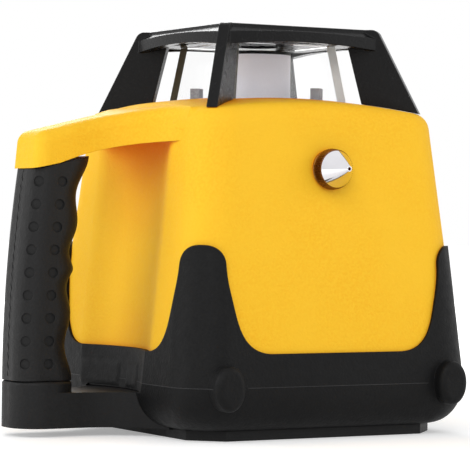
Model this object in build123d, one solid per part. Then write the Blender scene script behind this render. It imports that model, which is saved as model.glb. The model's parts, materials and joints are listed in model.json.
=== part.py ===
from build123d import *
import math
import os

# Rotary laser level. Millimetres, +Z up, origin on the tripod axis at the underside of the base.
# The handle is towards -X, the levelling foot towards -Y, the keypad towards +Y, the battery towards +X.

# Housing shell
HOUSE_EDGE_Z = 145.0
HOUSE_HALF = 62.3
HOUSE_DRAFT = 0.102
HOUSE_CORNER = 17.0
HOUSE_WALL = 3.2
HOUSE_EDGE_ROUND = 8.5
DOME_TOP = 154.3
DOME_RADIUS = 385.0
SPLIT_Z = 30.0
GASKET = 1.2
SKIRT_TOP = 36.0
SKIRT_STEP = 1.2
SEAT_GAP = 0.1
LOOSE_GAP = 0.3

# Base plate and tripod thread
PLATE_HALF = 64.0
PLATE_CUT = 13.0
PLATE_THICK = 4.5
THREAD_R = 7.94
THREAD_DEPTH = 14.0
INSERT_R = 11.5
INSERT_FLANGE_R = 16.0
INSERT_FLANGE = 3.0
INSERT_ROOF = 2.5
BASE_SCREW_INSET = 16.0
BASE_SCREW_R = 2.0
BASE_SCREW_HEAD_R = 3.8
BASE_SCREW_HEAD = 2.4
BASE_SCREW_LENGTH = 11.0
BOSS_R = 4.5
BOSS_HEIGHT = 6.0

# Chassis tray and rubber boot
CHASSIS_WALL = 3.0
CHASSIS_FLOOR = 3.5
BOOT_SKIN = 2.0
BOOT_BELLY_Z = 24.0
BOOT_BELLY_PROUD = 1.06
BOOT_FOOT_PROUD = 0.5
BOOT_LIP = 6.5
BOOT_TOP = 86.0
BOOT_TOP_PROUD = 1.9
BOOT_CORNER = 19.0
WINDOW_SILL = 38.5
WINDOW_SILL_HALF = 33.0
WINDOW_MID_HALF = 52.7
WINDOW_MID_Z = 60.0
WINDOW_TOP_HALF = 55.5
TONGUE_ROUND = 8.5
REST_PAD_X = 58.0
REST_PAD_W = 15.0
REST_PAD_H = 20.0
REST_PAD_ROUND = 3.0
REST_PAD_DEPTH = 20.0
REST_PLANE = 81.8

# Finger scoop under the upper arm
SCOOP_R = 72.0
SCOOP_DEPTH = 8.0
SCOOP_RIM = 18.0
SCOOP_RIM_PROUD = 0.05

# Handle
ARM_ROOT_X = -57.0
ARM_END_X = -120.0
ARM_HALF = 14.0
ARM_FLARE_X = -98.0
ARM_FLARE_BITE = 0.3
ARM_ROOT_TOP = 148.6
ARM_MID_X = -92.0
ARM_MID_TOP = 141.5
ARM_END_TOP = 133.5
ARM_END_UNDER = 119.0
ARM_SLOPE = 0.2164
ARM_ARCH_X = -108.0
ARM_CROWN_X = -86.4
ARM_CROWN_UNDER = 128.2
ARM_ROOT_UNDER = 132.2
ARM_PLAN_ROUND = 6.0
ARM_EDGE_ROUND = 6.0
LOW_ARM_END_X = -127.1
LOW_ARM_HALF = 15.5
LOW_ARM_FLARE_R = 33.0
LOW_ARM_FLARE_DEG = 74.0
LOW_ARM_BOTTOM = 3.8
LOW_ARM_TOP = 19.5
PEDESTAL_TOP = 24.5
PEDESTAL_INNER_X = -97.8
LOW_ARM_ROUND = 13.0
LOW_ARM_EDGE = 1.5
GRIP_OUT_X = -126.7
GRIP_BEND_R = 657.0
GRIP_DEPTH = 25.7
GRIP_HALF_WIDTH = 13.6
GRIP_ROUND = 9.5
SCALLOP_PITCH = 21.9
SCALLOP_PEAK_Z = 52.4
SCALLOP_RISE = 1.1
SCALLOP_COUNT = 3
GRIP_FLARE = 1.6
PIT_R = 2.35
PIT_DEPTH = 0.7
PIT_ROWS = 9
PIT_PITCH = 10.1
PIT_LOW_Z = 32.4
PIT_INSET = 13.6
PIT_TURN = 42.0
CORE_R = 7.0
CORE_SOCKET = 6.0
BOLT_R = 2.5
BOLT_HEAD_R = 4.5
BOLT_HEAD = 3.5
BOLT_REACH = 16.0

# Guard cage
FIN_THICK = 5.0
FIN_FOOT_HALF = 54.8
FIN_FOOT_DROP = 7.3
FIN_TOP_HALF = 40.8
FIN_INNER_FOOT_HALF = 35.8
FIN_INNER_FOOT_DROP = 2.8
FIN_INNER_TOP_HALF = 31.0
CAGE_RISE = 31.2
ROOF_THICK = 7.5
ROOF_HALF = 38.6
ROOF_EDGE = 1.5
LIP_HALF = 42.2
LIP_BOW = 1.6
LIP_THICK = 3.8
LIP_END_DROP = 10.2
LIP_MID_DROP = 7.6
LIP_END_HEIGHT = 5.9
LIP_MID_HEIGHT = 4.9
TOP_WINDOW_R = 11.0
TOP_WINDOW_THICK = 2.0
TOP_WINDOW_LEDGE = 1.2

# Lantern
PANE_SINK = 6.2
PANE_LOW_HALF = 30.9
PANE_TOP_HALF = 26.5
PANE_THICK = 3.0
PANE_GAP = 0.12
PANE_CORNER = 1.0
SEAT_FLOOR = 2.0
SEAT_WALL = 3.8
SEAT_BORE_R = 25.5
LANTERN_GAP = 0.1
POST_AT = 20.2
POST_WIDTH = 6.5
POST_DEPTH = 4.4
POST_RISE = 4.2

# Levelling foot on the -Y face
FOOT_Z = 120.0
FOOT_COLLAR_R = 9.25
FOOT_COLLAR = 5.8
FOOT_CONE_R = 7.5
FOOT_TIP_R = 1.1
FOOT_STUD_R = 3.0
FOOT_TRAVEL = 4.0
FOOT_ENGAGE = 7.0
FOOT_SPOT = 1.0
FOOT_CHAMFER = 0.6
BUSH_R = 7.0
BUSH_FLANGE_R = 8.4
BUSH_FLANGE = 1.4
BUSH_DEPTH = 12.0
FOOT_SEAL = 0.8
FOOT_SEAL_R = 6.0
FOOT_GAP = 0.1

# Gimbal and frame
PIVOT_DROP = 54.3
TILT_DEG = 5.0
RING_R = 36.0
RING_BORE_R = 29.0
RING_HEIGHT = 8.0
PIVOT_R = 2.0
PIVOT_PLAY = 0.05
PRESS_PLAY = 0.02
LUG_GAP = 2.5
LUG_THICK = 6.0
LUG_HALF = 6.0
LUG_RISE = 6.0
PIN_HEAD_R = 3.2
PIN_HEAD = 1.4
FRAME_PLATE_DROP = 14.0
FRAME_PLATE = 4.0
FRAME_BORE_R = 33.0
FRAME_HALF_X = 47.0
FRAME_HALF_Y = 50.0
FRAME_CORNER = 10.0
LEG_X = 30.0
LEG_Y = 44.0
LEG_R = 4.0
DRIVE_PLATE_DROP = 64.0
DRIVE_PLATE = 3.0
DRIVE_HALF_X = 33.0

# Barrel, beam path and spinning head
BARREL_DROP = 34.0
BARREL_RISE = 26.0
BARREL_R = 17.0
BARREL_BORE_R = 13.0
COLLAR_R = 19.0
COLLAR_HALF = 6.0
BARREL_PIN_END = 35.5
MODULE_HEIGHT = 16.0
MODULE_FLANGE = 2.0
MODULE_FLANGE_R = 16.0
DIODE_R = 4.3
DIODE_RISE = 2.0
STEER_PIN_R = 3.0
STEER_PIN_DROP = 54.5
LENS_DROP = 12.0
LENS_THICK = 4.0
LENS_CURVE = 40.0
BEARING_WIDTH = 6.0
BEARING_RISE = 10.0
SHAFT_R = 7.0
SHAFT_BORE_R = 4.5
SHAFT_RISE = 7.0
SHAFT_PLAY = 0.04
HEAD_R = 15.5
HEAD_WALL = 2.0
HEAD_SINK = 1.1
HEAD_FLOOR = 3.0
HEAD_GAP = 4.0
HEAD_CAP = 1.5
HEAD_CAP_BORE_R = 5.0
APERTURE_R = 5.0
APERTURE_GLASS = 1.6
PRISM_SIDE = 11.0
SENSOR_R = 2.5
SENSOR_LENGTH = 14.0
SENSOR_DROP = 18.0

# Head drive
PULLEY_RISE = 29.0
PULLEY_HEIGHT = 6.0
PULLEY_FLANGE = 1.0
HEAD_GROOVE_R = 12.5
DRIVE_RATIO = 2.5
GROOVE_DEPTH = 1.5
MOTOR_Y = 36.0
MOTOR_R = 9.0
MOTOR_HEIGHT = 19.0
MOTOR_SHAFT_R = 1.5
BRACKET = 3.0
BRACKET_HALF = 8.0
BRACKET_RIM = 1.0
MOTOR_SHAFT_REACH = 8.0
BELT_THICK = 1.2
BELT_PLAY = 0.3

# Self-levelling drives: two screws at right angles that steer the pin under the barrel
TILT_MOTOR_R = 8.0
TILT_MOTOR_LENGTH = 18.0
TILT_SCREW_R = 1.5
TILT_SCREW_OFFSET = 22.0
TILT_FACE_SETBACK = 2.0
TILT_SHAFT_REACH = 7.0
TILT_NUT = 12.0
TILT_LEVER_X = 46.0
TILT_LEVER_Y = 52.0
FORK_THICK = 4.0
FORK_HALF = 7.0
FORK_PLAY = 0.5
SCREW_END_PLAY = 1.5
CRADLE_HALF = 9.0
CRADLE_DROP = 2.0

# Keypad on the +Y face
PANEL_Z = 114.0
PANEL_W = 82.0
PANEL_H = 46.0
PANEL_THICK = 1.6
PANEL_LEDGE = 3.2
PANEL_GAP = 0.2
KEY_W = 17.0
KEY_H = 9.4
KEY_ROUND = 4.2
KEY_MARGIN = 6.5
KEY_PITCH_Y = 18.0
KEY_PROUD = 1.2
KEY_GAP = 0.3
KEY_FLANGE = 1.2
KEY_RIM = 1.2
KEY_TRAVEL = 1.0
KEY_STEM_R = 2.0
KEY_STEM = 1.4
SWITCH_R = 2.5
SWITCH_HEIGHT = 1.2
BOARD_THICK = 1.6
STANDOFF_R = 2.0
STANDOFF_Y = 14.0

# Battery on the +X side, charging inlet on the +Y side
DOOR_Z = 63.0
DOOR_W = 64.0
DOOR_H = 38.0
DOOR_THICK = 1.8
DOOR_LEDGE = 3.0
FLAP_X = -30.0
FLAP_Z = 58.0
FLAP_W = 20.0
FLAP_H = 15.0
HINGE_PIN_R = 0.7
HINGE_PIN_REACH = 2.0
HINGE_PLAY = 0.05
FLAP_GAP = 0.3
SOCKET_R = 5.0
SOCKET_FLANGE_R = 7.0
SOCKET_FLANGE = 1.6
SOCKET_DEPTH = 14.0
SOCKET_BORE_R = 2.75
SOCKET_FLOOR = 3.0
SOCKET_PIN_R = 1.0
CELL_R = 7.25
CELL_LENGTH = 50.5
CELL_GAP = 0.35
CELL_NUB_R = 2.6
CELL_NUB = 1.0
HOLDER_WALL = 2.0
HOLDER_Z = 46.0
HOLDER_EAR_HALF = 47.0

# Main board on the frame legs
MAIN_HALF_X = 40.0
MAIN_LOW_DROP = 56.0
MAIN_TOP_DROP = 16.0

# Heights that follow from the dome and the roof
ROOF_TOP = DOME_TOP + CAGE_RISE
ROOF_UNDER = ROOF_TOP - ROOF_THICK
PANE_LOW_Z = DOME_TOP - PANE_SINK
HEAD_LOW = PANE_LOW_Z - HEAD_SINK
HEAD_TOP = ROOF_UNDER - HEAD_GAP

# Heights of the works that hang from the gimbal's pivot
PIVOT_Z = DOME_TOP - PIVOT_DROP
FRAME_PLATE_Z = PIVOT_Z - FRAME_PLATE_DROP
DRIVE_PLATE_Z = PIVOT_Z - DRIVE_PLATE_DROP
BARREL_LOW = PIVOT_Z - BARREL_DROP
BARREL_TOP = PIVOT_Z + BARREL_RISE
BEARING_LOW_Z = PIVOT_Z + BEARING_RISE
PULLEY_Z = PIVOT_Z + PULLEY_RISE
TILT_NUT_X_Z = PIVOT_Z - TILT_LEVER_X
TILT_NUT_Y_Z = PIVOT_Z - TILT_LEVER_Y

# Places that follow from the base plate and the panel
BASE_SCREW_AT = PLATE_HALF - BASE_SCREW_INSET
KEY_PITCH_X = (PANEL_W - KEY_W) / 2 - KEY_MARGIN

FACE_ANGLE = math.atan(HOUSE_DRAFT)
BOOT_FOOT_HALF = PLATE_HALF + BOOT_FOOT_PROUD

# Reach of the cutting forms, and how far the joined forms of one piece run into each other
FAR = 400.0
THROUGH = 9.0
OVERCUT = 1.0
WELD = 0.5


def house_half(z):
    """Half width of the housing at height z."""
    return HOUSE_HALF + HOUSE_DRAFT * (HOUSE_EDGE_Z - z)


def square_at(z, half, corner):
    """Rounded square section at height z."""
    return Pos(0, 0, z) * RectangleRounded(2 * half, 2 * half, corner)


def tapered(z_low, half_low, z_high, half_high, corner):
    """Straight-sided rounded block between two heights."""
    sections = [square_at(z_low, half_low, corner), square_at(z_high, half_high, corner)]
    return loft(sections, ruled=True)


def belly(z_low, z_high, half_low, half_high, corner):
    """Block whose sides swell from a narrow foot to full width on a quarter ellipse."""
    sections = []
    steps = 4
    for step in range(steps + 1):
        angle = math.radians(90.0 * step / steps)
        z = z_high - (z_high - z_low) * math.cos(angle)
        half = half_low + (half_high - half_low) * math.sin(angle)
        sections.append(square_at(z, half, corner))
    return loft(sections)


def dome(inset):
    """Ball that domes the top, set in by a wall."""
    return Pos(0, 0, DOME_TOP - DOME_RADIUS) * Sphere(DOME_RADIUS - inset)


def arm_under(x):
    """Height of the straight outer part of the upper arm's underside."""
    return ARM_END_UNDER + ARM_SLOPE * (x - ARM_END_X)


def below_arm(rise):
    """Everything below the upper arm's underside, which arches up towards the body."""
    far_end = (ARM_END_X - FAR, arm_under(ARM_END_X - FAR))
    spring = (ARM_ARCH_X, arm_under(ARM_ARCH_X))
    crown = (ARM_CROWN_X, ARM_CROWN_UNDER)
    root = (ARM_ROOT_X, ARM_ROOT_UNDER)
    edges = [
        Line(far_end, spring),
        ThreePointArc(spring, crown, root),
        Line(root, (0, ARM_ROOT_UNDER)),
        Line((0, ARM_ROOT_UNDER), (0, -FAR)),
        Line((0, -FAR), (ARM_END_X - FAR, -FAR)),
        Line((ARM_END_X - FAR, -FAR), far_end),
    ]
    return Pos(0, 0, rise) * extrude(Plane.XZ * make_face(edges), FAR / 2, both=True)


def scoop(grow, z_low, rise):
    """Finger scoop in the -X face, widened by grow, from a height up to the arm."""
    rim_x = SCOOP_RIM_PROUD - SCOOP_RIM
    hollow_x = SCOOP_R - SCOOP_DEPTH
    rim_y = math.sqrt((SCOOP_R + SCOOP_RIM) ** 2 - (hollow_x - rim_x) ** 2)
    turn = math.atan2(rim_y, hollow_x - rim_x)
    radius = SCOOP_R + grow
    rim_r = SCOOP_RIM - grow
    join = (hollow_x - radius * math.cos(turn), radius * math.sin(turn))
    bend = (rim_x + rim_r * math.cos(turn / 2), rim_y - rim_r * math.sin(turn / 2))
    crest = (rim_x + rim_r, rim_y)
    edges = [ThreePointArc((join[0], -join[1]), (hollow_x - radius, 0), join)]
    for side in (-1, 1):
        edges += [
            ThreePointArc(
                (join[0], side * join[1]), (bend[0], side * bend[1]), (crest[0], side * crest[1])
            ),
            Line((crest[0], side * crest[1]), (FAR, side * crest[1])),
        ]
    edges.append(Line((FAR, -rim_y), (FAR, rim_y)))
    face = Plane(
        origin=(-house_half(HOUSE_EDGE_Z), 0, HOUSE_EDGE_Z),
        x_dir=(-1, 0, HOUSE_DRAFT),
        z_dir=(HOUSE_DRAFT, 0, 1),
    )
    tool = extrude(face * make_face(edges), FAR / 2, both=True)
    return tool & below_arm(rise) & Pos(0, 0, z_low + FAR / 2) * Box(4 * FAR, FAR, FAR)


def face_plane(direction, along, z):
    """Plane on a side face of the housing, local y up the face, local z outwards."""
    lean_c = math.cos(FACE_ANGLE)
    lean_s = math.sin(FACE_ANGLE)
    half = house_half(z)
    if direction == "+Y":
        return Plane(origin=(along, half, z), x_dir=(-1, 0, 0), z_dir=(0, lean_c, lean_s))
    return Plane(origin=(half, along, z), x_dir=(0, 1, 0), z_dir=(lean_c, 0, lean_s))


def slab(plane, width, height, z_low, z_high, corner=0.0):
    """Plate on a face plane between two depths, with rounded corners if asked."""
    outline = RectangleRounded(width, height, corner) if corner else Rectangle(width, height)
    return plane * Pos(0, 0, z_low) * extrude(outline, z_high - z_low)


def peg(plane, x, y, radius, z_low, z_high):
    """Round peg standing on a face plane between two depths."""
    return plane * Pos(x, y, (z_low + z_high) / 2) * Cylinder(radius, z_high - z_low)


def drum(radius, z_low, z_high, x=0.0, y=0.0):
    """Upright cylinder between two heights."""
    return Pos(x, y, (z_low + z_high) / 2) * Cylinder(radius, z_high - z_low)


def rod_x(radius, x_low, x_high, y=0.0, z=0.0):
    """Cylinder along X."""
    return Pos((x_low + x_high) / 2, y, z) * Rot(0, 90, 0) * Cylinder(radius, x_high - x_low)


def rod_y(radius, y_low, y_high, x=0.0, z=0.0):
    """Cylinder along Y."""
    return Pos(x, (y_low + y_high) / 2, z) * Rot(90, 0, 0) * Cylinder(radius, y_high - y_low)


def block(x_low, x_high, y_low, y_high, z_low, z_high):
    """Box between corner coordinates."""
    size = Box(x_high - x_low, y_high - y_low, z_high - z_low)
    return Pos((x_low + x_high) / 2, (y_low + y_high) / 2, (z_low + z_high) / 2) * size


def arm_plan(end_x, half, flare_r, flare_deg, end_round, spread=0.0):
    """Plan of a handle arm: rounded outer end, sides flaring on an arc, a root that spreads wider."""
    full = math.radians(flare_deg)
    flare_x = ARM_FLARE_X + flare_r * math.sin(full)
    root_half = half + flare_r * (1 - math.cos(full))
    mid_x = ARM_FLARE_X + flare_r * math.sin(full / 2)
    mid_half = half + flare_r * (1 - math.cos(full / 2))
    wide = root_half + spread
    edges = [Line((end_x, -half), (end_x, half)), Line((ARM_ROOT_X, -wide), (ARM_ROOT_X, wide))]
    for side in (-1, 1):
        edges += [
            Line((end_x, side * half), (ARM_FLARE_X, side * half)),
            ThreePointArc(
                (ARM_FLARE_X, side * half), (mid_x, side * mid_half), (flare_x, side * root_half)
            ),
            Line((flare_x, side * wide), (ARM_ROOT_X, side * wide)),
        ]
        if spread:
            edges.append(Line((flare_x, side * root_half), (flare_x, side * wide)))
    plan = make_face(edges)
    return fillet(plan.vertices().group_by(Axis.X)[0], end_round)


def upper_arm():
    """Upper handle arm: sloping beam with a rounded end, leaning with the wall that it flares into."""
    past_x = ARM_END_X - ARM_HALF
    past_top = ARM_END_TOP - ARM_SLOPE * ARM_HALF
    edges = [
        ThreePointArc((ARM_ROOT_X, ARM_ROOT_TOP), (ARM_MID_X, ARM_MID_TOP), (past_x, past_top)),
        Line((past_x, past_top), (past_x, 0)),
        Line((past_x, 0), (ARM_ROOT_X, 0)),
        Line((ARM_ROOT_X, 0), (ARM_ROOT_X, ARM_ROOT_TOP)),
    ]
    beam = extrude(Plane.XZ * make_face(edges), FAR / 4, both=True)
    flare_r = -house_half(ARM_END_UNDER) - ARM_FLARE_X + ARM_FLARE_BITE
    root_half = ARM_HALF + flare_r
    plan = arm_plan(ARM_END_X, ARM_HALF, flare_r, 90, ARM_PLAN_ROUND, HOUSE_CORNER)
    arm = beam & extrude(Pos(0, 0, ARM_END_UNDER) * plan, FAR / 8, dir=(HOUSE_DRAFT, 0, 1), both=True)
    arm -= below_arm(0)
    top_edges = [
        edge
        for edge in arm.edges()
        if edge.center().X < ARM_ROOT_X - 1
        and abs(edge.center().Y) < root_half + HOUSE_CORNER - 1
        and edge.center().Z > arm_under(edge.center().X) + ARM_EDGE_ROUND
        and abs(edge.tangent_at(0.5).Z) < 0.9
    ]
    return fillet(top_edges, ARM_EDGE_ROUND) & dome(0) & block(-FAR, 0, -root_half, root_half, 0, FAR)


def grip_back(z):
    """X of the back of the bowed grip at height z."""
    return GRIP_OUT_X + (z - PEDESTAL_TOP) ** 2 / (2 * GRIP_BEND_R)


def core_x(z):
    """X of the straight core that joins the middles of the grip's two ends."""
    lean = (grip_back(ARM_END_UNDER) - grip_back(PEDESTAL_TOP)) / (ARM_END_UNDER - PEDESTAL_TOP)
    return GRIP_OUT_X + GRIP_DEPTH / 2 + lean * (z - PEDESTAL_TOP)


def core_line():
    """Plane at the top of the grip's seat whose z axis runs up the leaning core."""
    return Plane(origin=(core_x(PEDESTAL_TOP), 0, PEDESTAL_TOP), z_dir=(core_x(1) - core_x(0), 0, 1))


def make_upper_housing():
    bottom = SPLIT_Z + GASKET / 2
    top = DOME_TOP + THROUGH
    skin = tapered(SKIRT_TOP, house_half(SKIRT_TOP), top, house_half(top), HOUSE_CORNER)
    skin = skin & dome(0)
    rim = skin.edges().filter_by_position(Axis.Z, DOME_TOP - 2 * HOUSE_CORNER, DOME_TOP)
    skin = fillet(rim, HOUSE_EDGE_ROUND)
    skirt = tapered(
        bottom, house_half(bottom) - SKIRT_STEP, SKIRT_TOP, house_half(SKIRT_TOP) - SKIRT_STEP, HOUSE_CORNER
    )
    shell = skin + skirt - scoop(0, bottom - OVERCUT, 0) + upper_arm()
    inset = HOUSE_WALL + SKIRT_STEP / 2
    inner_corner = HOUSE_CORNER - HOUSE_WALL
    low = bottom - OVERCUT
    hollow = tapered(low, house_half(low) - inset, top, house_half(top) - inset, inner_corner)
    hollow = (hollow & dome(HOUSE_WALL)) - scoop(HOUSE_WALL, low - OVERCUT, HOUSE_WALL)
    shell -= hollow

    opening = pane_half(DOME_TOP - HOUSE_WALL - SEAT_WALL) + LANTERN_GAP
    shell -= extrude(square_at(DOME_TOP - FAR / 8, opening, PANE_CORNER), FAR / 4)

    seat_y = foot_seat()
    shell += rod_y(BUSH_R + HOUSE_WALL, seat_y + FOOT_SPOT, seat_y + BUSH_DEPTH, 0, FOOT_Z)
    shell -= rod_y(BUSH_FLANGE_R + FOOT_GAP, seat_y - THROUGH, seat_y, 0, FOOT_Z)
    shell -= rod_y(BUSH_R + PRESS_PLAY, seat_y - OVERCUT, seat_y + BUSH_DEPTH + OVERCUT, 0, FOOT_Z)

    panel = face_plane("+Y", 0, PANEL_Z)
    gap = 2 * PANEL_GAP
    shell -= slab(panel, PANEL_W + gap, PANEL_H + gap, -PANEL_THICK - PANEL_GAP, THROUGH)
    inner_gap = gap - 2 * PANEL_LEDGE
    shell -= slab(panel, PANEL_W + inner_gap, PANEL_H + inner_gap, -THROUGH, THROUGH)

    door = face_plane("+X", 0, DOOR_Z)
    shell -= flap_pocket(door, DOOR_W, DOOR_H)
    shell -= slab(door, DOOR_W - 2 * DOOR_LEDGE, DOOR_H - 2 * DOOR_LEDGE, -THROUGH, THROUGH)

    inlet = face_plane("+Y", FLAP_X, FLAP_Z)
    shell -= flap_pocket(inlet, FLAP_W, FLAP_H)
    shell -= peg(inlet, 0, 0, SOCKET_R + PRESS_PLAY, -THROUGH, THROUGH)

    shell -= core_line() * Cylinder(CORE_R + PRESS_PLAY, 2 * core_top())
    return shell


def core_top():
    """Distance up the grip line from its reference point to the top of the core."""
    return arm_under(core_x(ARM_END_UNDER)) + CORE_SOCKET - PEDESTAL_TOP


def pane_half(z):
    """Half width of the lantern outside the panes at height z."""
    share = (z - PANE_LOW_Z) / (ROOF_UNDER - PANE_LOW_Z)
    return PANE_LOW_HALF + (PANE_TOP_HALF - PANE_LOW_HALF) * share


def flap_axis_y(height):
    """Local height of a flap's hinge line on its face plane."""
    return -height / 2 + DOOR_THICK / 2


def flap_body(plane, width, height):
    """Flush flap that hinges on two stub pins along its rounded lower edge."""
    axis_y = flap_axis_y(height)
    plate = Pos(0, axis_y, 0) * Box(
        width, height - DOOR_THICK / 2, DOOR_THICK, align=(Align.CENTER, Align.MIN, Align.MAX)
    )
    edge = Pos(0, axis_y, -DOOR_THICK / 2) * Rot(0, 90, 0) * Cylinder(DOOR_THICK / 2, width)
    pins = Pos(0, axis_y, -DOOR_THICK / 2) * Rot(0, 90, 0) * Cylinder(
        HINGE_PIN_R, width + 2 * HINGE_PIN_REACH
    )
    return plane * (plate + edge + pins)


def flap_pocket(plane, width, height):
    """Recess and hinge holes that a flap needs in its wall."""
    depth = DOOR_THICK + FLAP_GAP
    recess = slab(plane, width + 2 * FLAP_GAP, height + 2 * FLAP_GAP, -depth, THROUGH)
    hole = Pos(0, flap_axis_y(height), -DOOR_THICK / 2) * Rot(0, 90, 0) * Cylinder(
        HINGE_PIN_R + HINGE_PLAY, width + 2 * HINGE_PIN_REACH + FLAP_GAP
    )
    return recess + plane * hole


def make_housing_gasket():
    low = SPLIT_Z - GASKET / 2
    half = house_half(low + GASKET) - SKIRT_STEP
    ring = extrude(square_at(low, half, HOUSE_CORNER), GASKET) - scoop(0, 0, 0)
    hole_half = half + SKIRT_STEP / 2 - HOUSE_WALL
    hole = extrude(square_at(low - OVERCUT, hole_half, HOUSE_CORNER - HOUSE_WALL), GASKET + 2 * OVERCUT)
    return ring - (hole - scoop(HOUSE_WALL, 0, 0))


def chassis_block(shrink):
    """Outer form of the tray, under the boot, set in by a distance."""
    top = SPLIT_Z - GASKET / 2
    full = house_half(BOOT_BELLY_Z) - SKIRT_STEP - shrink
    low = PLATE_THICK + BOOT_SKIN + shrink
    swell = belly(low, BOOT_BELLY_Z, BOOT_FOOT_HALF - BOOT_SKIN - shrink, full, HOUSE_CORNER)
    rim = house_half(top) - SKIRT_STEP - shrink
    upper = tapered(BOOT_BELLY_Z, full, top, rim, HOUSE_CORNER)
    foot_half = BOOT_FOOT_HALF - BOOT_LIP - shrink
    foot = extrude(square_at(PLATE_THICK, foot_half, HOUSE_CORNER), low - PLATE_THICK)
    return swell + upper + foot


def lower_arm(grow):
    """Lower handle arm in plan and height, with a raised seat for the grip."""
    plan = arm_plan(
        LOW_ARM_END_X - grow, LOW_ARM_HALF + grow, LOW_ARM_FLARE_R - grow, LOW_ARM_FLARE_DEG, LOW_ARM_ROUND
    )
    beam = extrude(Pos(0, 0, LOW_ARM_BOTTOM - grow) * plan, LOW_ARM_TOP - LOW_ARM_BOTTOM + 2 * grow)
    plate_end = PLATE_HALF + SEAT_GAP
    return beam - block(-plate_end, plate_end, -plate_end, plate_end, 0, PLATE_THICK)


def make_lower_chassis():
    floor_top = PLATE_THICK + CHASSIS_FLOOR
    top = SPLIT_Z - GASKET / 2
    body = chassis_block(SEAT_GAP) - scoop(0, LOW_ARM_TOP, 0)
    room = chassis_block(CHASSIS_WALL) & block(-FAR, FAR, -FAR, FAR, floor_top, FAR)
    room -= scoop(CHASSIS_WALL, LOW_ARM_TOP - CHASSIS_WALL, 0)
    beam = lower_arm(0)
    seat_plan = Pos((LOW_ARM_END_X + PEDESTAL_INNER_X) / 2, 0) * RectangleRounded(
        PEDESTAL_INNER_X - LOW_ARM_END_X, 2 * LOW_ARM_HALF, LOW_ARM_ROUND
    )
    seat = extrude(Pos(0, 0, LOW_ARM_TOP - WELD) * seat_plan, PEDESTAL_TOP - LOW_ARM_TOP + WELD)
    seat = fillet(seat.edges().group_by(Axis.Z)[-1], LOW_ARM_EDGE)
    tray = body + beam + seat - room
    for x in (-BASE_SCREW_AT, BASE_SCREW_AT):
        for y in (-BASE_SCREW_AT, BASE_SCREW_AT):
            tray += drum(BOSS_R, floor_top - WELD, floor_top + BOSS_HEIGHT, x, y)
            tray -= drum(BASE_SCREW_R + PRESS_PLAY, 0, BASE_SCREW_LENGTH + OVERCUT, x, y)
    tray -= drum(INSERT_R + SEAT_GAP, 0, floor_top + OVERCUT)
    tray -= core_line() * Cylinder(CORE_R + PRESS_PLAY, 2 * CORE_SOCKET)
    bolt_x = bolt_place()
    tray -= drum(BOLT_R + SEAT_GAP, 0, PEDESTAL_TOP, bolt_x)
    tray -= drum(BOLT_HEAD_R + SEAT_GAP, 0, LOW_ARM_BOTTOM + BOLT_HEAD + SEAT_GAP, bolt_x)
    return tray


def bolt_place():
    """X of the handle bolt, under the lower end of the core."""
    return core_x(PEDESTAL_TOP - CORE_SOCKET)


def window_cut():
    """U-shaped window of one side of the boot, drawn on the -Y side."""
    far = house_half(BOOT_BELLY_Z) + THROUGH
    high = BOOT_TOP + THROUGH
    round_x = WINDOW_TOP_HALF + TONGUE_ROUND
    round_z = BOOT_TOP - TONGUE_ROUND
    bend = math.sqrt(0.5)
    edges = [
        Line((-WINDOW_SILL_HALF, WINDOW_SILL), (WINDOW_SILL_HALF, WINDOW_SILL)),
        Line((-far, high), (far, high)),
    ]
    for side in (-1, 1):
        edges += [
            Spline(
                (side * WINDOW_SILL_HALF, WINDOW_SILL),
                (side * WINDOW_MID_HALF, WINDOW_MID_Z),
                (side * WINDOW_TOP_HALF, round_z),
                tangents=[(side, 0), (0, 1)],
            ),
            ThreePointArc(
                (side * WINDOW_TOP_HALF, round_z),
                (side * (round_x - TONGUE_ROUND * bend), round_z + TONGUE_ROUND * bend),
                (side * round_x, BOOT_TOP),
            ),
            Line((side * round_x, BOOT_TOP), (side * far, BOOT_TOP)),
            Line((side * far, BOOT_TOP), (side * far, high)),
        ]
    return extrude(Plane.XZ * make_face(edges), FAR)


def make_rubber_boot():
    low = PLATE_THICK + SEAT_GAP
    belly_half = house_half(BOOT_BELLY_Z) + BOOT_BELLY_PROUD
    lower = belly(low, BOOT_BELLY_Z, BOOT_FOOT_HALF, belly_half, BOOT_CORNER)
    upper = tapered(BOOT_BELLY_Z, belly_half, BOOT_TOP, house_half(BOOT_TOP) + BOOT_TOP_PROUD, BOOT_CORNER)
    arm_hole_top = LOW_ARM_TOP + LOOSE_GAP
    skin = lower + upper - scoop(-BOOT_SKIN, arm_hole_top, 0)

    pad_plan = Ellipse(REST_PAD_W / 2, REST_PAD_H / 2)
    for x in (-REST_PAD_X, REST_PAD_X):
        pad = extrude(Pos(x, -REST_PLANE, BOOT_BELLY_Z) * Rot(-90, 0, 0) * pad_plan, REST_PAD_DEPTH)
        pad = fillet(pad.edges().group_by(Axis.Y)[0], REST_PAD_ROUND)
        skin += pad

    bottom = SPLIT_Z - GASKET
    high = BOOT_TOP + THROUGH
    in_skirt = SEAT_GAP - SKIRT_STEP
    room = tapered(
        bottom, house_half(bottom) + in_skirt, SKIRT_TOP, house_half(SKIRT_TOP) + in_skirt, HOUSE_CORNER
    )
    room += tapered(
        SKIRT_TOP, house_half(SKIRT_TOP) + SEAT_GAP, high, house_half(high) + SEAT_GAP, HOUSE_CORNER
    )
    hollow = chassis_block(0) + room - scoop(-SEAT_GAP, LOW_ARM_TOP + SEAT_GAP, 0)
    hollow += extrude(square_at(0, BOOT_FOOT_HALF - BOOT_LIP, HOUSE_CORNER), BOOT_BELLY_Z)
    boot = skin - hollow
    for turn in range(4):
        boot -= Rot(0, 0, 90 * turn) * window_cut()
    return boot - lower_arm(LOOSE_GAP)


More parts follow.
